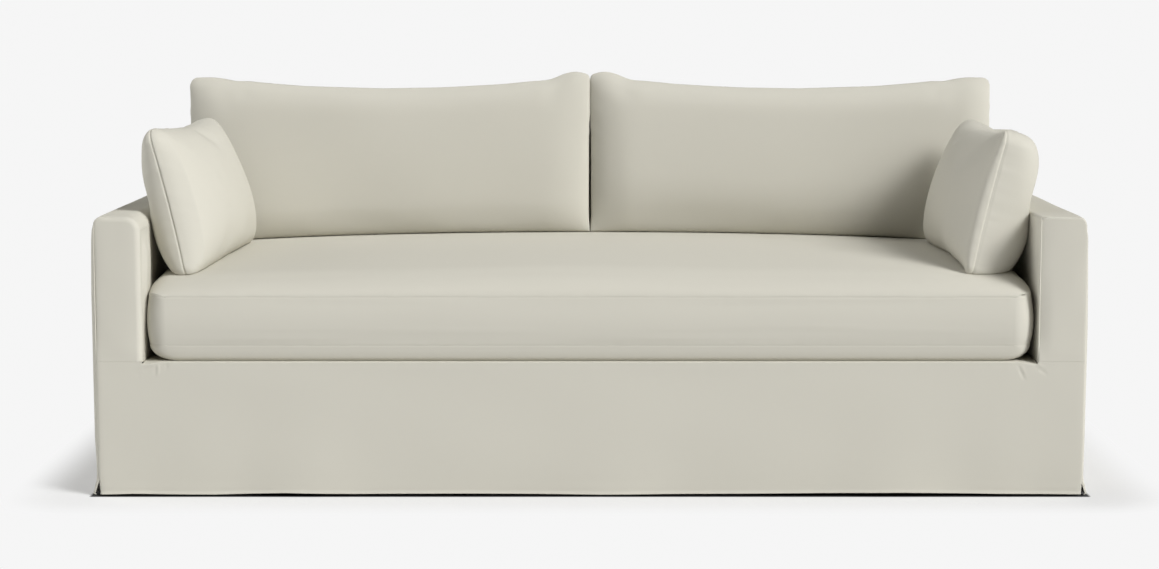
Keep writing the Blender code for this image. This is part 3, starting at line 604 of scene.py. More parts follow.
def sewn_sheet(node, points, cloth, seam, facing, keep=None):
    """Sheet that stands for one CAD node, dressed, and with the cloth it was cut from."""
    thing = cloth_sheet(node + "_cloth", points, np.stack(cloth, axis=-1), seam, facing, keep)
    dress(thing, [node])
    return thing


def make_skirt_front():
    """Front fall: a plane that stands off in soft waves towards its hem.

    The hem follows a table of lifts, the deck seam sags beside the arms, pulls
    run out of both deck corners, and the ends draw in below the corner slits.
    """
    fine = np.arange(ARM_INNER - 0.066, ARM_INNER + 0.036, PULL_STEP)
    a, depth_a = run(-HALF_WIDTH, HALF_WIDTH, CORNER_LIP, CORNER_LIP, 0.0085, (*-fine[::-1], *fine))
    fine = np.arange(DECK_TOP - 0.052, DECK_TOP - SKIRT_LIP - 0.0175, PULL_STEP)
    b, depth_b = run(0.0, DECK_TOP, HEM_LIP, (SKIRT_LIP, 90.0, 0.0001), 0.0075, fine)
    x, z = grid(a, b)
    beside = np.abs(x) - ARM_INNER
    hem = HEM_LIFT + np.interp(x / HALF_WIDTH, FRONT_HEM[:, 0], FRONT_HEM[:, 1])
    inside = ease(-beside / 0.010)
    top = DECK_TOP - CORNER_SAG * hump(beside, CORNER_SAG_REACH) * (beside < 0.0) - SEAT_SAG * inside
    level = hem + z / DECK_TOP * (top - hem)
    edge = ease(beside / ARM_WIDTH)
    vent = 1.0 - np.clip(level / VENT_HEIGHT, 0.0, 1.0)
    out = np.where(x < 0.0, SEAM_OUT[-1], SEAM_OUT[1])
    fall = np.where(x < 0.0, EDGE_FALL[-1], EDGE_FALL[1])
    fall = fall * edge_share(HALF_WIDTH - CORNER_LIP[2] - np.abs(x))
    wide = x + np.sign(x) * (out * ease((np.abs(x) - HALF_WIDTH + 0.03) / 0.03) - VENT_DRAW * vent * edge)
    off = fall_wave(x, level, FRONT_WAVES) * (1.0 - 0.8 * edge) - fall
    down = DECK_TOP - level
    pulls_left, pulls_right = (creases(beside, down, CORNER_PULLS[side]) for side in (-1, 1))
    pulls = np.where(x < 0.0, pulls_left, pulls_right)
    free = ease(down / FREE_RUN) * ease((HALF_WIDTH - np.abs(x)) / FREE_RUN)
    off = off + pulls + free * drift(x, level * 1.6, 11, 0.42, 0.0011)
    off = off + puckers(x, down, 12, 0.00022, 0.020) + hem_ply(z) + HEM_FLARE * (1.0 - ease(z / 0.0075))
    joined = np.where((b > LIP_SPLIT)[None, :], 1.0 - 0.85 * ease((beside + 0.004) / 0.008), 1.0)
    sink = depth_a[:, None] + depth_b[None, :] * joined
    points = np.stack([wide, at_depth(0.0) - off + sink, level], axis=-1)
    # Painted shade in the seams' lips; along the top it drops to 15 per cent below the arms.
    seam = painted_seam_shade(depth_a, depth_b * (b > LIP_SPLIT)) * joined
    # Painted highlight along the front hem's very edge: a negative weight lightens the cloth.
    seam = np.where(z < HEM_HIGHLIGHT_DEEP, -HEM_HIGHLIGHT * hump(z, HEM_HIGHLIGHT_DEEP), seam)
    # A painted shadow, fixed to the cloth: the dark line along the seat cushion's foot.
    strip = UNDER_SEAT_SHADE * np.exp(-((down - SEAT_SAG) / UNDER_SEAT_RUN))
    seam = np.maximum(seam, strip * inside * (down < FREE_RUN))
    return sewn_sheet("skirt_front", points, (x, level), seam, (0, -1, 0))


def tuck_corner(x, z, edge, way, bend, margin):
    """Draws a face's top edge in towards a rounded corner's centre by the margin
    of its side edge: margin times a fall-off from the edge, along the radius."""
    centre_x, centre_z = edge - way * bend, ARM_TOP - bend
    out = np.maximum((x - centre_x) * way, 0.0)
    up = z - centre_z
    reach = np.maximum(np.hypot(out, up), 1e-9)
    near = ease(((x - centre_x) * way + ARM_TAPER) / ARM_TAPER) * (up > 0.0) * (up >= out)
    draw = margin * near * np.exp(-np.maximum(bend - reach, 0.0) / ARM_TUCK)
    return x - way * draw * out / reach, z - draw * up / reach


def make_arm_front(side, word):
    """Front of one arm: a plane with rounded top corners and rolled edges."""
    soft = side < 0
    inner_lip = (ARM_LIP[side], 90.0, 0.0) if soft else (ARM_LIP[side], 135.0, 0.0018)
    top_lip = (ARM_TOP_LIP[side], 90.0, 0.0)
    a, depth_a = run(ARM_INNER, HALF_WIDTH, inner_lip, CORNER_LIP, 0.0060)
    b, depth_b = run(DECK_TOP, ARM_TOP, FLAT_LIP, top_lip, 0.0075)
    x, z = grid(a, b)
    x, z = round_corners(x, z, (ARM_INNER, DECK_TOP), (HALF_WIDTH, ARM_TOP),
                         {(0, 1): INNER_BEND[side], (1, 1): OUTER_BEND})
    free = ease((HALF_WIDTH - x) / 0.03) * ease((x - ARM_INNER) / 0.03) * ease((z - DECK_TOP) / 0.03)
    off = free * drift(x * 1.4, z, 21 + side, 0.24, 0.0010)
    off = off + 0.0010 * free * ease((ARM_TOP - z) / 0.05)
    low = 1.0 - ease((z - ARM_TOP + 0.05) / 0.04)
    off = off - EDGE_FALL[side] * edge_share(HALF_WIDTH - CORNER_LIP[2] - x) * low
    outer_fall, outer_run, inner_fall, inner_run = ARM_FALL[side]
    round_off = outer_fall * np.exp(-(HALF_WIDTH - x) / outer_run)
    round_off = round_off + inner_fall * np.exp(-(x - ARM_INNER) / inner_run)
    off = off - round_off * ease((z - DECK_TOP) / 0.06)
    sharp = ease((x - HALF_WIDTH + OUTER_BEND + ARM_TAPER) / ARM_TAPER)
    if not soft:
        sharp = np.maximum(sharp, ease((ARM_INNER + INNER_BEND[side] + ARM_TAPER - x) / ARM_TAPER))
    x, z = tuck_corner(x, z, HALF_WIDTH, 1, OUTER_BEND, CORNER_LIP[2])
    sharp = sharp * (1.0 - ARM_SEAM_DEPTH / ARM_TOP_LIP[side])
    sink = np.maximum(depth_a[:, None], depth_b[None, :] * (1.0 - sharp * (b > 0.5)[None, :]))
    x = x + SEAM_OUT[side] * ease((x - HALF_WIDTH + 0.03) / 0.03) * low
    points = np.stack([side * x, at_depth(0.0) - off + sink, z], axis=-1)
    # Painted shade in the seams' lips: full at the outer edge, a fifth at the foot, none at the top, and
    # none in the left arm's soft inner roll.
    outer_half = a > 0.5 * (ARM_INNER + HALF_WIDTH)
    seam = painted_seam_shade(depth_a * outer_half if soft else depth_a, depth_b * 0.2 * (b < 0.4))
    return sewn_sheet("arm_front_" + word, points, (x, z), seam, (0, -1, 0))


def make_arm_inside(side, word):
    """Inner face of one arm: an upright plane from the deck to the top's turn,
    puffed out a little near the front of the left arm."""
    high = ARM_TOP - INNER_BEND[side]
    front_lip = FLAT_LIP if side < 0 else (ARM_LIP[side], 135.0, 0.0018)
    start = ARM_LIP[side] + 0.0002 if side < 0 else 0.0
    fine = np.arange(0.038, 0.150, 0.006)
    a, depth_a = run(start, depth_of_back(DECK_TOP) - GAP, front_lip, RAW, 0.012, fine)
    b, depth_b = run(DECK_TOP - 0.002, high, RAW, FLAT_LIP, 0.010)
    u, z = grid(a, b)
    deep = u + BACK_LEAN * (z - DECK_TOP) * np.clip(u / BACK_FOOT_DEPTH, 0.0, 1.0)
    off = ease(u / 0.05) * ease((high - z) / 0.04) * drift(u, z * 1.5, 31 + side, 0.30, 0.0007)
    sink = depth_a[:, None] + depth_b[None, :]
    puff = ARM_PUFF[side] * np.interp(z, *ARM_PUFF_HEIGHT) * ease(np.interp(u, *ARM_PUFF_DEPTH))
    puff = puff * ease((high - z) / 0.05)
    x = ARM_INNER - np.clip(off, -0.0006, 0.0003) - puff + sink
    points = np.stack([side * x, at_depth(deep), z], axis=-1)
    return sewn_sheet("arm_inside_" + word, points, (u, z), painted_seam_shade(depth_a, depth_b), (-side, 0, 0))


def bend_over(length, low, high, top, bend_low, bend_high):
    """Section over a top, by the length along it: up round one edge, flat, down
    round the other.  Returns across, height and the outward direction."""
    arc_low = bend_low * math.pi / 2
    flat = high - low - bend_low - bend_high
    turn_low = np.clip(length / bend_low, 0.0, math.pi / 2)
    turn_high = np.clip((length - arc_low - flat) / bend_high, 0.0, math.pi / 2)
    along = np.clip(length - arc_low, 0.0, flat)
    on_high = length > arc_low + flat
    across = np.where(on_high, high - bend_high + bend_high * np.sin(turn_high),
                      low + bend_low * (1.0 - np.cos(turn_low)) + along)
    level = np.where(on_high, top - bend_high * (1.0 - np.cos(turn_high)),
                     top - bend_low * (1.0 - np.sin(turn_low)))
    out_across = np.where(on_high, np.sin(turn_high), -np.cos(turn_low))
    out_up = np.where(on_high, np.cos(turn_high), np.sin(turn_low))
    return across, level, out_across, out_up


def bend_length(low, high, bend_low, bend_high):
    """Length of that section, and the places of its two arcs."""
    arc_low = bend_low * math.pi / 2
    arc_high = bend_high * math.pi / 2
    flat = high - low - bend_low - bend_high
    return arc_low + flat + arc_high, arc_low, arc_low + flat


def make_arm_top(side, word):
    """Top of one arm: a strip that turns down round both long edges."""
    bend = INNER_BEND[side]
    start = ARM_TOP_LIP[side] + 0.0002
    length, first, last = bend_length(ARM_INNER, HALF_WIDTH, bend, OUTER_BEND)
    turns = np.concatenate([np.linspace(0.0, first, 7), np.linspace(last, length, 9)])
    turns = turns[(turns > 0.02) & (turns < length - 0.02)]
    a, depth_a = run(0.0, length, FLAT_LIP, FLAT_LIP, 0.007, turns)
    b, depth_b = run(start, depth_of_back(ARM_TOP) - GAP, FLAT_LIP, RAW, 0.012)
    w, deep = grid(a, b)
    sharp = ease((w - last + ARM_TAPER) / ARM_TAPER)
    if side > 0:
        sharp = np.maximum(sharp, ease((first + ARM_TAPER - w) / ARM_TAPER))
    deep = deep - (start - ARM_SEAM_DEPTH) * sharp * (1.0 - ease((deep - start) / 0.05))
    across, level, out_across, out_up = bend_over(w, ARM_INNER, HALF_WIDTH, ARM_TOP, bend, OUTER_BEND)
    middle = ease(w / 0.03) * ease((length - w) / 0.03) * ease(deep / 0.06)
    off = middle * (drift(deep, w * 2.0, 41 + side, 0.30, 0.0009) + 0.0006)
    tucked = np.exp(-np.maximum(deep - ARM_SEAM_DEPTH, 0.0) / ARM_TUCK)
    tucked = tucked * ease((w - last + ARM_TAPER) / ARM_TAPER)
    off = off - depth_a[:, None] - depth_b[None, :] - CORNER_LIP[2] * tucked
    points = np.stack([side * (across + off * out_across), at_depth(deep), level + off * out_up], axis=-1)
    return sewn_sheet("arm_top_" + word, points, (w, deep), TOP_SEAM_SHARE * painted_seam_shade(depth_a, depth_b),
                      (0, 0, 1))


def make_arm_outer(side, word):
    """Outside of one arm: a plane that waves and flares out beside the slits."""
    high = ARM_TOP - OUTER_BEND
    a, depth_a = run(0.0, DEPTH, CORNER_LIP, CORNER_LIP, 0.010)
    b, depth_b = run(0.0, high, HEM_LIP, FLAT_LIP, 0.009)
    deep, z = grid(a, b)
    low_share = 1.0 - np.clip(z / DECK_TOP, 0.0, 1.0)
    corner = np.minimum(deep, DEPTH - deep)
    near = np.clip(1.0 - corner / VENT_REACH, 0.0, 1.0) ** VENT_POWER
    flare = VENT_FLARE * np.clip(1.0 - z / VENT_HEIGHT, 0.0, 1.0) ** VENT_POWER
    turns = deep / SIDE_WAVE_LENGTH + 0.2 * side
    wave = (0.5 + 0.5 * np.cos(2.0 * math.pi * turns)) * ease(corner / 0.12)
    off = FALL_WAVE * wave * low_share**WAVE_POWER + flare * near
    free = ease((high - z) / 0.06) * ease(corner / 0.05)
    off = off + free * drift(deep, z * 1.5, 51 + side, 0.45, 0.0014) + hem_ply(z)
    puff = np.interp(z, SIDE_PUFF[side][:, 0], SIDE_PUFF[side][:, 1])
    puff = puff * (0.3 + 0.7 * np.exp(-np.maximum(corner - 0.02, 0.0) / 0.12))
    off = off + puff * rise((corner - 0.003) / 0.012)
    off = off + puckers(deep, high - z, 52 + side, 0.0002, 0.02)
    lift = (SIDE_HEM_LIFT + SIDE_HEM_WAVE * wave) * (1.0 - ease(z / 0.12))
    sink = depth_a[:, None] + depth_b[None, :]
    points = np.stack([side * (HALF_WIDTH + off - sink), at_depth(deep), z + lift], axis=-1)
    return sewn_sheet("arm_outer_" + word, points, (deep, z), painted_seam_shade(depth_a, depth_b * (b > LIP_SPLIT)),
                      (side, 0, 0))


def make_deck():
    """Deck: a level plane whose front corners sag into the deck seam."""
    a, depth_a = run(-ARM_INNER + GAP, ARM_INNER - GAP, RAW, RAW, 0.014)
    b, depth_b = run(0.0, depth_of_back(DECK_TOP) - GAP, CORNER_LIP, RAW, 0.016)
    x, deep = grid(a, b)
    sag = CORNER_SAG * hump(np.abs(x) - ARM_INNER, CORNER_SAG_REACH) * np.exp(-deep / 0.03)
    level = DECK_TOP - sag - depth_a[:, None] - depth_b[None, :]
    points = np.stack([x, at_depth(deep), level], axis=-1)
    return sewn_sheet("deck", points, (x, deep), painted_seam_shade(depth_a, depth_b), (0, 0, 1))


def make_back_inside():
    """Inside back: a leaning plane that widens over the arms."""
    shoulder = ARM_TOP - OUTER_BEND + GAP
    a, depth_a = run(-HALF_WIDTH, HALF_WIDTH, CORNER_LIP, CORNER_LIP, 0.014, (-ARM_INNER, ARM_INNER))
    b, depth_b = run(DECK_TOP - 0.002, BACK_TOP - BACK_BEND, RAW, FLAT_LIP, 0.012, (shoulder,))
    x, z = grid(a, b)
    free = ease((BACK_TOP - BACK_BEND - z) / 0.04)
    off = free * np.clip(drift(x, z * 2.0, 61, 0.4, 0.0006), -0.0008, 0.0002)
    off = off - depth_a[:, None] - depth_b[None, :]
    points = np.stack([x, at_depth(depth_of_back(z)) - off, z], axis=-1)
    middle_x = (a[1:] + a[:-1]) / 2
    middle_z = (b[1:] + b[:-1]) / 2
    keep = (np.abs(middle_x) < ARM_INNER)[:, None] | (middle_z > shoulder)[None, :]
    return sewn_sheet("back_inside", points, (x, z), painted_seam_shade(depth_a, depth_b), (0, -1, 0),
                      keep=keep)


def make_back_top():
    """Top of the back: a strip that turns down at the front and the rear."""
    front = depth_of_back(BACK_TOP - BACK_BEND)
    length = bend_length(front, DEPTH, BACK_BEND, BACK_BEND)[0]
    a, depth_a = run(0.0, length, FLAT_LIP, FLAT_LIP, 0.005)
    b, depth_b = run(-HALF_WIDTH, HALF_WIDTH, CORNER_LIP, CORNER_LIP, 0.012)
    w, x = grid(a, b)
    deep, level, out_deep, out_up = bend_over(w, front, DEPTH, BACK_TOP, BACK_BEND, BACK_BEND)
    middle = ease(w / 0.03) * ease((length - w) / 0.03) * ease((HALF_WIDTH - np.abs(x)) / 0.04)
    off = middle * drift(x, w * 2.0, 71, 0.35, 0.0012) - depth_a[:, None] - depth_b[None, :]
    points = np.stack([x, at_depth(deep + off * out_deep), level + off * out_up], axis=-1)
    return sewn_sheet("back_top", points, (x, w), painted_seam_shade(depth_a, depth_b), (0, 0, 1))


def make_back_end(side, word):
    """End of the back over one arm: a plane with rounded top corners."""
    low = ARM_TOP - OUTER_BEND
    width = DEPTH - depth_of_back(low)
    a, depth_a = run(0.0, width, CORNER_LIP, CORNER_LIP, 0.008)
    b, depth_b = run(low, BACK_TOP, FLAT_LIP, CORNER_LIP, 0.008)
    u, z = grid(a, b)
    u, z = round_corners(u, z, (0.0, low), (width, BACK_TOP), {(0, 1): BACK_BEND, (1, 1): BACK_BEND})
    deep = depth_of_back(low) + u + BACK_LEAN * (z - low) * (1.0 - u / width)
    free = ease(u / 0.03) * ease((width - u) / 0.03) * ease((z - low) / 0.03)
    off = free * (drift(u * 2.0, z, 81 + side, 0.2, 0.0008) + 0.0008)
    sink = depth_a[:, None] + depth_b[None, :]
    points = np.stack([side * (HALF_WIDTH + off - sink), at_depth(deep), z], axis=-1)
    return sewn_sheet("back_end_" + word, points, (u, z), painted_seam_shade(depth_a, depth_b), (side, 0, 0))


def make_back_outer():
    """Outside back: a plane that waves towards its hem."""
    high = BACK_TOP - BACK_BEND
    a, depth_a = run(-HALF_WIDTH, HALF_WIDTH, CORNER_LIP, CORNER_LIP, 0.011)
    b, depth_b = run(0.0, high, HEM_LIP, FLAT_LIP, 0.011)
    x, z = grid(a, b)
    hem = HEM_LIFT + REAR_HEM_WAVE * (1.0 + np.cos(x * REAR_HEM_RATE + REAR_HEM_PHASE)) / 2
    level = hem + z / high * (high - hem)
    vent = 1.0 - np.clip(level / VENT_HEIGHT, 0.0, 1.0)
    edge = ease((np.abs(x) - ARM_INNER) / ARM_WIDTH)
    wide = x - np.sign(x) * VENT_DRAW * vent * edge
    free = ease((high - level) / 0.06) * ease((HALF_WIDTH - np.abs(x)) / 0.05)
    off = fall_wave(x, level, BACK_WAVES) + free * drift(x, level * 1.5, 91, 0.55, 0.0016)
    off = off + puckers(x, high - level, 92, 0.0002, 0.02) + hem_ply(z)
    off = off - depth_a[:, None] - depth_b[None, :]
    points = np.stack([wide, at_depth(DEPTH) + off, level], axis=-1)
    return sewn_sheet("back_outer", points, (x, level), painted_seam_shade(depth_a, depth_b * (b > LIP_SPLIT)),
                      (0, 1, 0))


# ------------------------------------------------------------------ seat cushion
def seat_half_width(depth):
    """Half width of the seat cushion: less towards the front corners."""
    near = np.clip(1.0 - (depth - SEAT_FRONT) / SEAT_DRAW_DEPTH, 0.0, 1.0)
    return SEAT_HALF - SEAT_DRAW * near**2


def seat_top(across, depth):
    """Height of the seat's upper panel: round edges times a broad arch, over the
    upper seam, highest towards the back cushions."""
    share = np.clip(np.abs(across) / SEAT_HALF, 0.0, 1.0)
    arch = (1.0 - share**2) ** SEAT_ARCH_POWER
    side_run = seat_half_width(depth) - np.abs(across)
    cross = SEAT_EDGE_SHARE * rise(side_run / SEAT_RIM) + (1.0 - SEAT_EDGE_SHARE) * arch
    end_run = np.minimum(depth - SEAT_FRONT, SEAT_BACK - depth)
    before = np.clip((depth - SEAT_FRONT) / (SEAT_PEAK_DEPTH - SEAT_FRONT), 0.0, 1.0)
    behind = np.clip((depth - SEAT_PEAK_DEPTH) / (SEAT_BACK - SEAT_PEAK_DEPTH), 0.0, 1.0)
    swell = (1.0 - (1.0 - before) ** 2) * (1.0 - SEAT_BACK_FALL * behind**2)
    along = rise(end_run / SEAT_FRONT_RIM) * (0.5 + 0.5 * swell)
    return SEAT_HIGH_SEAM + SEAT_CROWN * cross * along


def both_ways(half, edge, step):
    """Stations from -1 to 1: the edge distances at both ends and even steps between."""
    near = 1.0 - np.array(edge) / half
    count = int(round(2.0 * near[-1] * half / step))
    middle = np.linspace(-near[-1], near[-1], count + 1)[1:-1]
    return np.concatenate([-near, middle, near[::-1]])


SEAM_ROWS = (0.0, 0.0008, 0.0017, 0.0028, 0.0042, 0.0062, 0.0090, 0.0130)


def edge_rows(radius, height, after):
    """Distances from a rim whose rows climb a quarter-round edge by SEAM_ROWS,
    followed by the given ones."""
    up = np.array(SEAM_ROWS) / height
    return tuple(radius * (1.0 - np.sqrt(1.0 - up * up))) + after


# Faint lengthwise creases of the seat's boxing: across, height, across, height,
# width and height of the ridge.
SEAT_FACE_CREASES = (
    (-0.90, 0.358, -0.52, 0.362, 0.0035, -0.0011),
    (-0.60, 0.372, -0.05, 0.366, 0.0045, 0.0009),
    (0.05, 0.361, 0.62, 0.368, 0.0040, -0.0010),
    (0.40, 0.376, 0.93, 0.366, 0.0045, 0.0009),
    (-0.75, 0.428, -0.28, 0.424, 0.0045, -0.0008),
    (0.20, 0.423, 0.80, 0.430, 0.0050, -0.0008),
)
# The same for the upper panel, by across and depth.
SEAT_TOP_CREASES = (
    (-0.84, 0.055, -0.48, 0.068, 0.010, -0.0016),
    (-0.35, 0.072, 0.12, 0.062, 0.012, -0.0013),
    (0.26, 0.066, 0.72, 0.054, 0.010, -0.0015),
    (0.80, 0.095, 0.93, 0.210, 0.012, -0.0018),
    (-0.92, 0.190, -0.80, 0.085, 0.012, -0.0016),
    (-0.60, 0.330, -0.42, 0.560, 0.045, -0.0022),
    (0.38, 0.590, 0.60, 0.310, 0.050, -0.0024),
    (-0.06, 0.300, 0.04, 0.590, 0.050, -0.0014),
)


def groove(distance, deep=0.0020, wide=0.0016):
    """Cross-section of a seam: a bell-shaped dip."""
    return deep * np.exp(-((distance / wide) ** 2))


def make_seat_cushion():
    """Bench cushion: crowned top, swelling boxing and a round turn underneath.

    The upper panel's height is seat_top, the rim's plan has round front and back
    corners, and the boxing swells by a half sine between its two seams.
    """
    half_depth = (SEAT_BACK - SEAT_FRONT) / 2
    middle_depth = (SEAT_BACK + SEAT_FRONT) / 2
    side_rows = edge_rows(SEAT_RIM, 0.053, (0.0035, 0.006, 0.010, 0.016, 0.024, 0.034, 0.046, 0.060))
    end_rows = edge_rows(SEAT_FRONT_RIM, 0.044, (0.0075, 0.012, 0.018, 0.026, 0.035, 0.047, 0.062))
    s = both_ways(SEAT_HALF, side_rows, 0.0135)
    t = both_ways(half_depth, end_rows, 0.0115)
    depth = middle_depth + half_depth * t
    over = np.clip((np.abs(t) * half_depth - (half_depth - SEAT_CORNER)) / SEAT_CORNER, 0.0, 1.0)
    half = seat_half_width(depth) - SEAT_CORNER * (1.0 - np.sqrt(1.0 - over**2))
    across = s[:, None] * half[None, :]
    deep = np.repeat(depth[None, :], len(s), axis=0)
    side_run = half[None, :] - np.abs(across)
    end_run = half_depth - np.abs(deep - middle_depth)
    away = np.minimum(side_run, end_run)
    top = np.where(away <= 1e-9, SEAT_HIGH_SEAM, seat_top(across, deep))
    reach = np.hypot(away, top - SEAT_HIGH_SEAM)
    floor = DECK_TOP + GAP
    chamfer = 1.0 - (1.0 - np.clip(end_run / SEAT_UNDER_FRONT, 0.0, 1.0)) ** SEAT_UNDER_POWER
    floor = floor + SEAT_UNDER_GAP * np.exp(-(deep - SEAT_FRONT) / 0.012)
    under = SEAT_LOW_SEAM - (SEAT_LOW_SEAM - floor) * rise(side_run / SEAT_UNDER_RIM) * chamfer
    upper = np.stack([across, at_depth(deep), top], axis=-1)
    lower = np.stack([across, at_depth(deep), under], axis=-1)
    out = normals_of(upper)
    out = out * np.sign(out[..., 2:3].mean())
    calm = 1.0 - ease((deep - 0.46) / 0.10)
    relief = creases(across, deep, SEAT_TOP_CREASES)
    relief = relief + ease(reach / 0.05) * calm * drift(across, deep * 1.5, 101, 0.55, 0.0018)
    relief = relief * ease(reach / 0.02) + puckers(across + deep, reach, 102, 0.0005, 0.018) * calm
    faint = 0.55 + 0.45 * np.sin(across * 9.0 + 1.0) * np.sin(across * 23.0)
    upper = upper + out * (relief - groove(reach, 0.0009, 0.0013) * faint)[..., None]
    reach_low = np.hypot(away, SEAT_LOW_SEAM - under)
    out = normals_of(lower)
    out = out * -np.sign(out[..., 2:3].mean())
    lower = lower - out * groove(reach_low, 0.0004, 0.0013)[..., None]
    lower[..., 2] = np.maximum(lower[..., 2], floor)
    rim = rim_of(len(s), len(t))
    line = np.stack([across, at_depth(deep)], axis=-1)[rim[:, 0], rim[:, 1]]
    outward = np.roll(line, -1, axis=0) - np.roll(line, 1, axis=0)
    outward = unit(np.stack([-outward[:, 1], outward[:, 0]], axis=-1))
    centre = line - np.array([0.0, at_depth(middle_depth)])
    outward = outward * np.sign((outward * centre).sum(axis=1))[:, None]
    held = ease((np.abs(line[:, 0]) - 0.90) / 0.06) * ease((line[:, 1] - at_depth(0.05)) / 0.08)
    room = 1.0 - held
    tall = SEAT_HIGH_SEAM - SEAT_LOW_SEAM
    levels = both_ways(tall / 2, SEAM_ROWS, 0.0065)[1:-1]
    rings, marks = [], []
    front_face = ease((at_depth(0.10) - line[:, 1]) / 0.06)
    for place in -levels:
        share = (1.0 - place) / 2
        level = SEAT_LOW_SEAM + tall * (1.0 + place) / 2
        gap = tall / 2 * (1.0 - abs(place))
        push = SEAT_PUFF * math.sin(math.pi * share) * room - groove(gap, 0.0005, 0.0013)
        push = push + front_face * creases(line[:, 0], np.full(len(line), level), SEAT_FACE_CREASES)
        push = push + front_face * puckers(line[:, 0], np.full(len(line), gap), 103, 0.00035, 0.012)
        along = drift(line[:, 0], np.full(len(line), level * 2.0), 104, 0.5, 0.0012)
        push = push + front_face * ease(gap / 0.02) * along
        rings.append(np.column_stack([line + outward * push[:, None], np.full(len(line), level)]))
        # Painted shade along the seams: on the boxing here, and on both panels below.
        marks.append(np.full(len(line), 0.35 * math.exp(-((gap / 0.0014) ** 2))))
    mark = 0.35 * np.exp(-((reach / 0.0014) ** 2))
    mark_low = 0.35 * np.exp(-((reach_low / 0.0014) ** 2))
    cloth = np.stack([across, deep], axis=-1)
    piece = closed_form("seat_cushion_cover", upper, lower, rings,
                        cloth, cloth + 3.0, (mark, mark_low, marks))
    dress(piece, ["seat_cushion"])
    return piece


# ------------------------------------------------------------------ back cushions
# Soft folds of a back cushion's front by share from the outer side and share of
# the height, then width and height in metres.
BACK_FRONT_CREASES = (
    (0.955, 0.985, 0.880, 0.860, 0.022, -0.0030),
    (0.905, 0.995, 0.860, 0.905, 0.016, 0.0016),
    (0.128, 0.985, 0.150, 0.880, 0.016, -0.0024),
    (0.060, 0.960, 0.120, 0.840, 0.022, -0.0018),
    (0.300, 0.090, 0.620, 0.060, 0.030, -0.0022),
    (0.520, 0.140, 0.900, 0.090, 0.030, -0.0020),
)


# How far the two cushions' inner sides stand apart, by share of the height.
BACK_APART = ((0.0, 0.03, 0.10, 0.60, 0.68, 0.74), (0.3, 0.3, 1.0, 0.8, 0.5, 0.0))


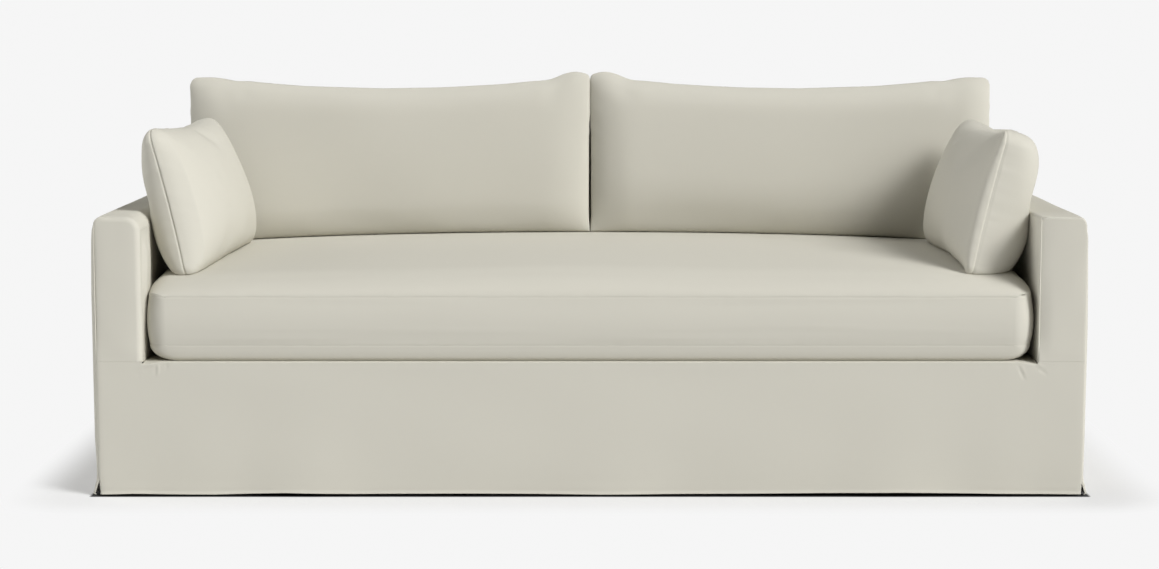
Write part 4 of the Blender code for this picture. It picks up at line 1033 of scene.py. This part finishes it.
def make_back_cushion(side, word):
    """Loose back cushion: crowned front and rear panels with boxing between them.

    The swell is a quarter-round rim times a flat dome, the top follows a table of
    heights, and the foot is shaped to the seat under it.
    """
    width = BACK_OUTER - BACK_INNER
    rim_rows = edge_rows(BACK_RIM, 0.022, (0.0200, 0.0270, 0.0360, 0.0460, 0.0580))
    s = both_ways(width / 2, rim_rows, 0.0110)
    share = (1.0 + s) / 2
    from_top = np.array(rim_rows) / BACK_PANEL
    foot_rows = np.array((0.0, 0.004, 0.008, 0.014, 0.022, 0.032, 0.045, 0.060)) / BACK_PANEL
    middle = np.linspace(foot_rows[-1], 1.0 - from_top[-1], 32)[1:-1]
    t = np.concatenate([foot_rows, middle, (1.0 - from_top)[::-1]])
    top = np.interp(share, BACK_TOP_LINE[:, 0], BACK_TOP_LINE[:, 1])
    soft = np.array((1.0, 2.0, 3.0, 2.0, 1.0)) / 9.0
    top[2:-2] = np.convolve(top, soft, mode="valid")
    base = BACK_OUTER - share * width
    foot = seat_top(base, np.full_like(base, BACK_FRONT - 0.012)) + BACK_SEAT_CLEAR
    level = foot[:, None] + t[None, :] * (top - foot)[:, None]
    across = np.repeat(base[:, None], len(t), axis=1)
    for corner, sign, end in (("outer", 1.0, 0.0), ("inner", -1.0, 1.0)):
        radius = BACK_CORNER[corner]
        over = np.clip(1.0 - (top[:, None] - level) / radius, 0.0, 1.0)
        draw = radius * (1.0 - np.sqrt(1.0 - over**2))
        if end:
            apart = np.interp(t, *BACK_APART)
            draw = draw + (BACK_SIDE_DRAW * apart - (BACK_INNER - 0.00005) * (1.0 - apart))[None, :]
        else:
            draw = draw + BACK_SIDE_DRAW * np.sin(math.pi * t)[None, :]
        near = np.clip(1.0 - np.abs(share - end)[:, None] * width / BACK_SIDE_REACH, 0.0, 1.0)
        across = across - sign * draw * near
    lean = BACK_CUSHION_LEAN * (level - foot.max())
    from_side = (np.minimum(share, 1.0 - share) * width)[:, None]
    from_end = (np.minimum(t, 1.0 - t) * BACK_PANEL)[None, :]
    dome = ((1.0 - s**2)[:, None] * (1.0 - (2.0 * t - 1.0) ** 2)[None, :]) ** BACK_FLATNESS
    inner = (share > 0.5)[:, None]
    inner_rise = rise(from_side / BACK_INNER_RIM) ** BACK_INNER_POWER[side]
    side_rise = np.where(inner, inner_rise, rise(from_side / BACK_RIM))
    swell = side_rise * rise(from_end / np.where(t > 0.5, BACK_TOP_RIM, BACK_FOOT_RIM[side])[None, :])
    crown = BACK_CROWN[side]
    swell = swell * (BACK_RIM_SHARE + (1.0 - BACK_RIM_SHARE) * dome)
    front = BACK_FRONT + lean - crown * swell
    free_rear = BACK_REAR + BACK_REAR_LEAN * lean + crown * swell
    tipped = level - BACK_CUSHION_LEAN * (free_rear - front) * ease((t - 0.5) / 0.5)[None, :]
    rear = np.minimum(free_rear, depth_of_back(tipped) - BACK_REST_CLEAR)
    away = np.minimum(from_side, np.maximum(BACK_PANEL * (1.0 - t), 0.0)[None, :])
    away = np.hypot(away, crown * swell)
    share_grid, t_grid = grid(share, t)
    free = ease(away / 0.05) * ease(t / 0.15)[None, :]
    relief = creases(share_grid * width, t_grid * BACK_PANEL,
                     [(a * width, b * BACK_PANEL, c * width, d * BACK_PANEL, w, h)
                      for a, b, c, d, w, h in BACK_FRONT_CREASES])
    relief = relief + free * drift(across, level * 1.5, 111 + side, 0.42, 0.0022)
    relief = relief + puckers(across + level, away, 112 + side, 0.0006, 0.022) * ease(t / 0.1)[None, :]
    front_panel = np.stack([side * across, at_depth(front), level], axis=-1)
    rear_panel = np.stack([side * across, at_depth(rear), tipped], axis=-1)
    out = normals_of(front_panel)
    out = out * np.sign(-out[..., 1:2].mean())
    sewn = groove(away, BACK_SEAM_DRAW, BACK_SEAM_RUN) * ease(t / 0.05)[None, :]
    front_panel = front_panel + out * (relief - sewn)[..., None]
    rim = rim_of(len(s), len(t))
    first = np.stack([side * across, at_depth(front), level], axis=-1)[rim[:, 0], rim[:, 1]]
    last = rear_panel[rim[:, 0], rim[:, 1]]
    at_top = ease((t[rim[:, 1]] - 0.9) / 0.1)
    gone = np.linalg.norm(last - first, axis=1)
    inwards = unit(np.array([side * (BACK_INNER + BACK_OUTER) / 2, 0.0, level.mean()]) - first)
    inwards[:, 1] = 0.0
    shares = np.concatenate([np.array(SEAM_ROWS[1:]) / 0.2, np.linspace(0.12, 0.88, 13)[1:-1],
                             1.0 - np.array(SEAM_ROWS[:0:-1]) / 0.2])
    shares = np.sort(shares[(shares > 0.0) & (shares < 1.0)])
    apart = np.interp(t, *BACK_APART)[rim[:, 1]] * (rim[:, 0] == len(s) - 1)
    close = side * apart * (BACK_SIDE_DRAW + BACK_INNER - 0.00005)
    rings, marks = [], []
    for part in shares:
        ring = first + part * (last - first)
        ring[:, 0] -= close * ease(part / 0.25) * (1.0 - ease((part - 0.9) / 0.1))
        ring[:, 2] += BACK_TOP_PUFF * math.sin(math.pi * part) * at_top
        dip = groove(part * gone, 0.0006, 0.0013) * ease(t[rim[:, 1]] / 0.05)
        rings.append(ring + inwards * dip[:, None])
        # Painted shade along the seams: on the boxing here and on the front panel below; the rear panel
        # gets none.
        marks.append(0.3 * np.exp(-((part * gone / 0.0014) ** 2)))
    mark = 0.3 * np.exp(-((away / 0.0014) ** 2)) * ease(t / 0.05)[None, :]
    cloth = np.stack([share_grid * width, t_grid * BACK_PANEL], axis=-1)
    piece = closed_form("back_cushion_" + word + "_cover", front_panel, rear_panel, rings,
                        cloth, cloth + 2.0, (mark, mark * 0.0, marks))
    dress(piece, ["back_cushion_" + word])
    return piece


# ------------------------------------------------------------------ side pillows
# Folds of a pillow's seat-side panel for each side, by place along (-1 front to 1
# rear) and up (-1 foot to 1 top), then width and height in metres.
PILLOW_CREASES = {
    -1: (
        (-0.70, 0.86, -0.22, -0.30, 0.020, 0.0030),
        (-0.62, 0.75, -0.40, 0.10, 0.018, -0.0020),
        (-0.10, 0.98, 0.18, 0.60, 0.022, -0.0050),
        (0.55, 0.95, 0.62, 0.40, 0.030, 0.0020),
        (-0.55, -0.95, -0.30, -0.55, 0.020, -0.0024),
        (0.60, -0.80, 0.15, -0.60, 0.026, -0.0022),
    ),
    1: (
        (-0.45, 0.96, -0.05, 0.30, 0.045, -0.0075),
        (0.30, 1.00, 0.52, 0.62, 0.016, -0.0050),
        (0.55, 1.00, 0.66, 0.60, 0.016, 0.0030),
        (-0.60, -0.90, -0.35, -0.50, 0.022, -0.0022),
        (0.55, -0.80, 0.10, -0.62, 0.028, -0.0022),
    ),
}


def make_side_pillow(side, word):
    """Knife-edged pillow: two panels swell from one seam that draws in between
    its corners, blunted where they lie on the seat and the arm."""
    corners = {key: np.array(value) for key, value in PILLOW_CORNERS.items()}
    if side > 0:
        for key, change in PILLOW_RIGHT_CHANGES.items():
            corners[key] = corners[key] + np.array(change)
    long_half = 0.5 * np.linalg.norm(corners["rear_top"] - corners["front_top"])
    tall_half = 0.5 * np.linalg.norm(corners["front_top"] - corners["front_bottom"])
    climb = (np.array(SEAM_ROWS) / PILLOW_SWELL[1]) ** (1.0 / PILLOW_FULLNESS[side, 1]) / 2
    after = (0.0014, 0.0024, 0.0038, 0.0058, 0.0085, 0.012, 0.0155,
             0.019, 0.0225, 0.0255, 0.0285, 0.0315, 0.0345, 0.040)
    s = both_ways(long_half, tuple(climb * long_half) + after, 0.0065)[:, None]
    t = both_ways(tall_half, tuple(climb * tall_half) + after, 0.0065)[None, :]
    over = np.clip(1.0 - (1.0 - np.abs(t)) * tall_half / PILLOW_CORNER, 0.0, 1.0)
    shrink = PILLOW_CORNER / long_half * (1.0 - np.sqrt(1.0 - over**2))
    u = (s * (1.0 - shrink - PILLOW_DRAW * (1.0 - t**2)) + 1.0) / 2
    v = (t * (1.0 - PILLOW_DRAW * (1.0 - s**2)) + 1.0) / 2
    flat = (
        ((1 - u) * v)[..., None] * corners["front_top"]
        + ((1 - u) * (1 - v))[..., None] * corners["front_bottom"]
        + (u * v)[..., None] * corners["rear_top"]
        + (u * (1 - v))[..., None] * corners["rear_bottom"]
    )
    turn = np.clip(1.0 - (s + 1.0) / PILLOW_TURN_RUN, 0.0, 1.0) ** 2 * (side > 0)
    flat[..., 0] += PILLOW_TURN * turn
    flat[..., 2] += np.interp(s, *PILLOW_TOP_LINE[side]) * ease((t + 0.1) / 1.1)
    band = np.sqrt(np.clip((1.0 + s) * long_half / PILLOW_BAND_RUN, 0.0, 1.0))
    band = 4.0 * band * (1.0 - band) * ease((1.0 - np.abs(t)) / 0.3) * (side < 0)
    along = corners["rear_top"] + corners["rear_bottom"] - corners["front_top"] - corners["front_bottom"]
    upward = corners["front_top"] + corners["rear_top"] - corners["front_bottom"] - corners["rear_bottom"]
    facing = unit(np.cross(upward, along))
    facing = facing * np.sign(facing[0])
    full = (1.0 - s**2) * (1.0 - t**2)
    away = np.minimum((1.0 - np.abs(s)) * long_half, (1.0 - np.abs(t)) * tall_half)
    place_s, place_t = np.broadcast_arrays(s, t)
    inwards = unit(flat.mean(axis=(0, 1)) - flat)
    panels, marks = [], []
    for way in (1, -1):
        swell = PILLOW_SWELL[way] * full ** PILLOW_FULLNESS[side, way] * (1.0 - PILLOW_SAG * t)
        foot = (1.0 - ease((t + 1.0) / 0.9)) * hump(s + 0.5, 0.5) * (side > 0)
        beside_turn = PILLOW_TURN_SHARE[way] * turn * ease((t + 1.5) / 1.2)
        swell = swell * (1.0 + beside_turn + PILLOW_FOOT_SHARE[way] * foot)
        reach = np.hypot(away, swell)
        panel = flat + way * swell[..., None] * facing
        out = normals_of(panel)
        out = out * np.sign((out * facing * way).sum(axis=-1).mean())
        long_way, tall_way = place_s * long_half, place_t * tall_half
        relief = ease(reach / 0.05) * drift(long_way, tall_way, 121 + side + 5 * way, 0.22, 0.0016)
        relief = relief + puckers(long_way + tall_way, reach, 122 + side + way, 0.0008, 0.035)
        if way > 0:
            rows_here = [(a * long_half, b * tall_half, c * long_half, d * tall_half, w, h)
                         for a, b, c, d, w, h in PILLOW_CREASES[side]]
            relief = relief + creases(long_way, tall_way, rows_here)
            relief = relief - PILLOW_BAND_DIP * band
        relief = relief * ease(reach / 0.012)
        sewn = groove(reach, PILLOW_SEAM_DRAW, PILLOW_SEAM_RUN)
        panel = panel + out * relief[..., None] + inwards * sewn[..., None]
        over_arm = ease((panel[..., 2] - ARM_TOP) / PILLOW_OVERHANG_RUN)
        limit = -(ARM_INNER - PILLOW_ARM_CLEAR) - PILLOW_REACH * over_arm
        panel[..., 0] = np.maximum(panel[..., 0], limit)
        rest = seat_top(panel[..., 0], panel[..., 1]) + PILLOW_SEAT_CLEAR
        panel[..., 2] = np.maximum(panel[..., 2], rest)
        panel[..., 1] = at_depth(panel[..., 1])
        panel[..., 0] = panel[..., 0] * -side
        panels.append(panel)
        # Painted shade along the seam round each panel.
        marks.append(np.exp(-((reach / PILLOW_MARK_RUN) ** 2)))
    cloth = np.stack([place_s * long_half, place_t * tall_half], axis=-1)
    piece = closed_form("side_pillow_" + word + "_cover", panels[0], panels[1], [],
                        cloth, cloth + 1.0, (marks[0], marks[1], []))
    dress(piece, ["side_pillow_" + word])
    return piece


# ------------------------------------------------------------------ cloth material
class Wire:
    """A shader socket that takes part in Python arithmetic through Math nodes."""

    def __init__(self, tree, socket=None):
        self.tree = tree
        self.socket = socket

    def node(self, kind, setup=None, inputs=None, out=0):
        """Adds a node, sets it up, then sets or links its sockets."""
        step = self.tree.nodes.new(kind)
        for name, value in (setup or {}).items():
            setattr(step, name, value)
        for name, value in (inputs or {}).items():
            if isinstance(value, Wire):
                self.tree.links.new(value.socket, step.inputs[name])
            else:
                step.inputs[name].default_value = value
        return Wire(self.tree, step.outputs[out])

    def math(self, operation, *others):
        return self.node("ShaderNodeMath", {"operation": operation}, dict(enumerate((self, *others))))

    def feed(self, socket):
        self.tree.links.new(self.socket, socket)

    def __add__(self, other):
        return self.math("ADD", other)

    def __sub__(self, other):
        return self.math("SUBTRACT", other)

    def __rsub__(self, other):
        return self.math("MULTIPLY_ADD", -1.0, other)

    def __mul__(self, other):
        return self.math("MULTIPLY", other)

    __radd__ = __add__
    __rmul__ = __mul__


def threads(cloth, stretch, pitch, detail=2.0):
    """Uneven threads along one way of the cloth: noise drawn out along them."""
    drawn = cloth.node("ShaderNodeVectorMath", {"operation": "MULTIPLY"}, {0: cloth, 1: stretch})
    return cloth.node("ShaderNodeTexNoise", {"noise_dimensions": "2D"},
                      {"Vector": drawn, "Scale": 1.0 / pitch, "Detail": detail, "Roughness": 0.55})


def linen_material():
    """Plain-woven linen.

    The weave's height is the size of a product of two sines, one thread pitch to
    each half wave.  Drawn-out noise makes thick and thin threads both ways, and
    slow noise drifts the colour between a warm and a cool tone.
    """
    look = settings()
    material = bpy.data.materials.new("linen")
    material.use_nodes = True
    shader = material.node_tree.nodes["Principled BSDF"]
    net = Wire(material.node_tree)
    cloth = net.node("ShaderNodeUVMap", {"uv_map": "cloth"})
    place = net.node("ShaderNodeTexCoord", out="Object")
    u = net.node("ShaderNodeSeparateXYZ", None, {0: cloth}, 0)
    v = net.node("ShaderNodeSeparateXYZ", None, {0: cloth}, 1)
    pitch = look.thread_pitch
    warp = threads(cloth, (1.0, 0.035, 1.0), pitch * 1.3)
    weft = threads(cloth, (0.035, 1.0, 1.0), pitch * 1.3)
    turns = math.pi / pitch
    weave = ((u * turns + warp * 1.6).math("SINE") * (v * turns + weft * 1.6).math("SINE")).math("ABSOLUTE")
    slub = warp + weft
    bands = threads(cloth, (1.0, 0.06, 1.0), look.slub_width, 1.0)
    bands = bands + threads(cloth, (0.06, 1.0, 1.0), look.slub_width, 1.0)
    slow = net.node("ShaderNodeTexNoise", None,
                    {"Vector": place, "Scale": look.mottle_scale, "Detail": 3.0, "Roughness": 0.55})
    tone = ((slow - 0.5) * 3.0 + (slub - 1.0) * 0.5 + 0.5).math("MINIMUM", 1.0).math("MAXIMUM", 0.0)
    base = net.node("ShaderNodeMix", {"data_type": "RGBA"},
                    {0: tone, 6: (*look.cool_tone, 1.0), 7: (*look.warm_tone, 1.0)}, 2)
    # Painted light held in the point attribute: painted shade in seams and under the seat cushion, a
    # painted highlight at the front hem where it is negative.
    seam = net.node("ShaderNodeAttribute", {"attribute_name": "seam"}, out="Fac")
    light = 1.0 + (slub - 1.0) * look.slub_contrast + (bands - 1.0) * look.band_contrast
    light = (light + (weave - 0.4) * look.weave_contrast) * (1.0 - seam * look.seam_shade)
    shade = net.node("ShaderNodeCombineXYZ", None, {0: light, 1: light, 2: light})
    shaded = net.node("ShaderNodeVectorMath", {"operation": "MULTIPLY"}, {0: base, 1: shade})
    shaded.feed(shader.inputs["Base Color"])
    (0.86 + (slub - 1.0) * 0.10 + (0.5 - weave) * 0.05).feed(shader.inputs["Roughness"])
    height = weave * 0.6 + slub * 0.7
    net.node("ShaderNodeBump", None, {"Strength": look.weave_relief, "Distance": 0.0006, "Height": height}
             ).feed(shader.inputs["Normal"])
    shader.inputs["Metallic"].default_value = 0.0
    shader.inputs["Specular IOR Level"].default_value = 0.22
    shader.inputs["Sheen Weight"].default_value = look.sheen
    shader.inputs["Sheen Roughness"].default_value = 0.55
    return material


# ------------------------------------------------------------------ stage
CAMERA_PLACE = (0.0, -5.710, 1.091)
CAMERA_TILT = 83.24
CAMERA_LENS = 74.55
CAMERA_SHIFT = -0.00906
SHADOW_NEAR = 0.05   # width of the plain floor round the cover
SHADOW_RUN = 0.15    # from there to where it gives only its own even light
SHADOW_GLOW = 0.27   # share of that light that the plain floor gives
SHADOW_MARGIN = 0.002  # how far the painted shadow underneath reaches beyond the outline
SHADOW_EDGE = 0.006  # width over which the painted shadow fades at the cover's outline
UNDER_SHARE = 0.15   # how much of its tone the floor keeps underneath, as a painted shadow
LAMPS = (
    # name, degrees right of the front, degrees up, strength, width in degrees
    ("key_low", 55.0, 22.0, 0.50, 18.0),
    ("key", 55.0, 38.0, 1.95, 20.0),
    ("key_front", 42.0, 36.0, 0.35, 24.0),
    ("key_high", 66.0, 54.0, 0.55, 20.0),
    ("fill_left", -100.0, 20.0, 1.15, 50.0),
    ("top", -90.0, 66.0, 0.42, 60.0),
)


def make_camera():
    """Long lens at eye height, tilted a little down."""
    data = bpy.data.cameras.new("camera")
    data.lens = CAMERA_LENS
    data.sensor_width = 36.0
    data.shift_x = CAMERA_SHIFT
    camera = bpy.data.objects.new("camera", data)
    camera.location = CAMERA_PLACE
    camera.rotation_euler = (math.radians(CAMERA_TILT), 0.0, 0.0)
    bpy.context.scene.collection.objects.link(camera)
    bpy.context.scene.camera = camera


def make_lamp(name, turn, lift, strength, spread):
    """Far soft light from a direction."""
    data = bpy.data.lights.new(name, "SUN")
    data.energy = strength * settings().light_strength
    data.angle = math.radians(spread)
    lamp = bpy.data.objects.new(name, data)
    a, e = math.radians(turn), math.radians(lift)
    towards = Vector((math.sin(a) * math.cos(e), -math.cos(a) * math.cos(e), math.sin(e)))
    lamp.rotation_euler = towards.to_track_quat("Z", "Y").to_euler()
    lamp.location = towards * 6.0
    bpy.context.scene.collection.objects.link(lamp)


def make_floor():
    """Wide pale floor.  Close to the cover it is a matt surface that takes the
    shadow and glows a little, further out it gives its own even light, and under
    the cover's outline it carries a painted shadow."""
    look = settings()
    material = bpy.data.materials.new("pale_floor")
    material.use_nodes = True
    shader = material.node_tree.nodes["Principled BSDF"]
    shader.inputs["Roughness"].default_value = 1.0
    shader.inputs["Specular IOR Level"].default_value = 0.0
    place = Wire(material.node_tree).node("ShaderNodeTexCoord", out="Object")
    gone = []
    for axis, reach in ((0, CAD_HIGH[0]), (1, CAD_HIGH[1])):
        along = place.node("ShaderNodeSeparateXYZ", None, {0: place}, axis)
        gone.append((along.math("ABSOLUTE") - reach).math("MAXIMUM", 0.0))
    away = (gone[0] * gone[0] + gone[1] * gone[1]).math("SQRT")
    even = ((away - SHADOW_NEAR) * (1.0 / SHADOW_RUN)).math("MAXIMUM", 0.0).math("MINIMUM", 1.0)
    even = even * even * (3.0 - 2.0 * even)
    # Painted shadow under the cover: inside its outline the floor keeps only UNDER_SHARE of its tone and
    # gives no glow.
    clear = ((away - SHADOW_MARGIN) * (1.0 / SHADOW_EDGE)).math("MAXIMUM", 0.0).math("MINIMUM", 1.0)
    plain = (1.0 - even) * (clear * (1.0 - UNDER_SHARE) + UNDER_SHARE)
    glow = even + (1.0 - even) * clear * SHADOW_GLOW
    for share, colour, target in ((plain, look.floor_tone, "Base Color"),
                                  (glow, look.backdrop_tone, "Emission Color")):
        channels = {k: share * colour[k] for k in range(3)}
        place.node("ShaderNodeCombineXYZ", None, channels).feed(shader.inputs[target])
    shader.inputs["Emission Strength"].default_value = 1.0
    half = 3000.0
    corners = np.array([(-half, -half, 0.0), (half, -half, 0.0), (half, half, 0.0), (-half, half, 0.0)])
    mesh = bpy.data.meshes.new("floor")
    mesh.from_pydata((corners - (0.0, 0.0, 0.0006)).tolist(), [], [(0, 1, 2, 3)])
    mesh.materials.append(material)
    floor = bpy.data.objects.new("floor", mesh)
    bpy.context.scene.collection.objects.link(floor)


def make_world():
    """Even pale surroundings."""
    look = settings()
    world = bpy.data.worlds.new("studio")
    bpy.context.scene.world = world
    world.use_nodes = True
    shine = world.node_tree.nodes["Background"]
    seen = Wire(world.node_tree).node("ShaderNodeLightPath", out="Is Camera Ray")
    channels = {k: seen * look.backdrop_tone[k] + (1.0 - seen) * look.room_light for k in range(3)}
    seen.node("ShaderNodeCombineXYZ", None, channels).feed(shine.inputs["Color"])
    shine.inputs["Strength"].default_value = 1.0
    bpy.context.scene.view_settings.view_transform = "Standard"


# ------------------------------------------------------------------ add-on
class SlipcoverSettings(bpy.types.PropertyGroup):
    """Sizes and colours that a user would change."""

    cloth_thickness: FloatProperty(
        name="Cloth thickness", description="Thickness of one sheet of the body cover",
        default=0.0016, min=0.0005, max=0.003, unit="LENGTH")
    thread_pitch: FloatProperty(
        name="Thread pitch", description="Distance between neighbouring threads",
        default=0.0011, min=0.0004, max=0.004, unit="LENGTH")
    weave_relief: FloatProperty(
        name="Weave relief", description="Strength of the weave's relief", default=0.35, min=0.0, max=1.0)
    weave_contrast: FloatProperty(
        name="Weave contrast", description="Tone between threads and the gaps beside them",
        default=0.10, min=0.0, max=0.5)
    slub_contrast: FloatProperty(
        name="Slub contrast", description="Tone between thick and thin threads",
        default=0.22, min=0.0, max=1.0)
    slub_width: FloatProperty(
        name="Slub width", description="Width of a group of thicker threads",
        default=0.0055, min=0.001, max=0.03, unit="LENGTH")
    band_contrast: FloatProperty(
        name="Band contrast", description="Tone between groups of thick and thin threads",
        default=0.10, min=0.0, max=1.0)
    # Scales the painted shade in seams and under the seat cushion, and the painted highlight at the front
    # hem.
    seam_shade: FloatProperty(
        name="Seam shade", description="How much darker the cloth is painted in seams and beside the seat",
        default=0.30, min=0.0, max=1.0)
    sheen: FloatProperty(
        name="Sheen", description="Soft light that loose fibres catch at the edges",
        default=0.12, min=0.0, max=1.0)
    mottle_scale: FloatProperty(
        name="Mottle scale", description="Patches of warmer and cooler cloth for each metre",
        default=9.0, min=0.5, max=30.0)
    warm_tone: FloatVectorProperty(
        name="Warm linen", description="Warmer tone of the cloth",
        subtype="COLOR", default=(0.572, 0.500, 0.424))
    cool_tone: FloatVectorProperty(
        name="Cool linen", description="Cooler tone of the cloth",
        subtype="COLOR", default=(0.520, 0.516, 0.446))
    floor_tone: FloatVectorProperty(
        name="Floor", description="Colour of the floor beside the cover",
        subtype="COLOR", default=(0.58, 0.58, 0.58))
    backdrop_tone: FloatVectorProperty(
        name="Backdrop", description="Colour of the bright surroundings", subtype="COLOR",
        default=(0.92, 0.92, 0.92))
    room_light: FloatProperty(
        name="Room light", description="Strength of the light from all round",
        default=0.02, min=0.0, max=3.0)
    light_strength: FloatProperty(
        name="Light", description="Strength of all the lamps together", default=1.0, min=0.0, max=10.0)


class PieceOperator:
    """What the operators share."""

    bl_options = {"REGISTER", "UNDO"}


class SLIPCOVER_OT_stage(PieceOperator, bpy.types.Operator):
    """Make the camera, the lights, the surroundings and the floor"""

    bl_idname = "slipcover.stage"
    bl_label = "Stage"

    def execute(self, context):
        make_camera()
        make_world()
        for lamp in LAMPS:
            make_lamp(*lamp)
        make_floor()
        linen_material()
        return {"FINISHED"}


class SLIPCOVER_OT_falls(PieceOperator, bpy.types.Operator):
    """Make the front fall and the outside back, down to their hems"""

    bl_idname = "slipcover.falls"
    bl_label = "Falls"

    def execute(self, context):
        make_back_top()
        make_skirt_front()
        make_back_outer()
        return {"FINISHED"}


class SLIPCOVER_OT_arms(PieceOperator, bpy.types.Operator):
    """Make the panels of both arms"""

    bl_idname = "slipcover.arms"
    bl_label = "Arms"

    def execute(self, context):
        for side, word in SIDES:
            make_arm_front(side, word)
            make_arm_inside(side, word)
            make_arm_top(side, word)
            make_arm_outer(side, word)
            make_back_end(side, word)
        return {"FINISHED"}


class SLIPCOVER_OT_deck(PieceOperator, bpy.types.Operator):
    """Make the deck and the inside back"""

    bl_idname = "slipcover.deck"
    bl_label = "Deck and inside back"

    def execute(self, context):
        make_deck()
        make_back_inside()
        return {"FINISHED"}


class SLIPCOVER_OT_seat(PieceOperator, bpy.types.Operator):
    """Make the bench seat cushion"""

    bl_idname = "slipcover.seat"
    bl_label = "Seat cushion"

    def execute(self, context):
        make_seat_cushion()
        return {"FINISHED"}


class SLIPCOVER_OT_backs(PieceOperator, bpy.types.Operator):
    """Make both back cushions"""

    bl_idname = "slipcover.backs"
    bl_label = "Back cushions"

    def execute(self, context):
        for side, word in SIDES:
            make_back_cushion(side, word)
        return {"FINISHED"}


class SLIPCOVER_OT_pillows(PieceOperator, bpy.types.Operator):
    """Make both side pillows"""

    bl_idname = "slipcover.pillows"
    bl_label = "Side pillows"

    def execute(self, context):
        for side, word in SIDES:
            make_side_pillow(side, word)
        return {"FINISHED"}


OPERATORS = (
    SLIPCOVER_OT_stage,
    SLIPCOVER_OT_arms,
    SLIPCOVER_OT_falls,
    SLIPCOVER_OT_deck,
    SLIPCOVER_OT_seat,
    SLIPCOVER_OT_backs,
    SLIPCOVER_OT_pillows,
)


class SLIPCOVER_PT_panel(bpy.types.Panel):
    """Lists the pieces of the slipcover set"""

    bl_idname = "SLIPCOVER_PT_panel"
    bl_label = "Slipcover"
    bl_space_type = "VIEW_3D"
    bl_region_type = "UI"
    bl_category = "Slipcover"

    def draw(self, context):
        look = settings()
        for name in SlipcoverSettings.__annotations__:
            self.layout.prop(look, name)
        for operator in OPERATORS:
            self.layout.operator(operator.bl_idname)


CLASSES = (SlipcoverSettings, *OPERATORS, SLIPCOVER_PT_panel)


def register():
    for cls in CLASSES:
        bpy.utils.register_class(cls)
    bpy.types.Scene.slipcover = PointerProperty(type=SlipcoverSettings)


def unregister():
    del bpy.types.Scene.slipcover
    for cls in reversed(CLASSES):
        bpy.utils.unregister_class(cls)


def main():
    """Registers the add-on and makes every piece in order."""
    register()
    for operator in OPERATORS:
        group, name = operator.bl_idname.split(".")
        getattr(getattr(bpy.ops, group), name)()


if __name__ == "__main__":
    main()
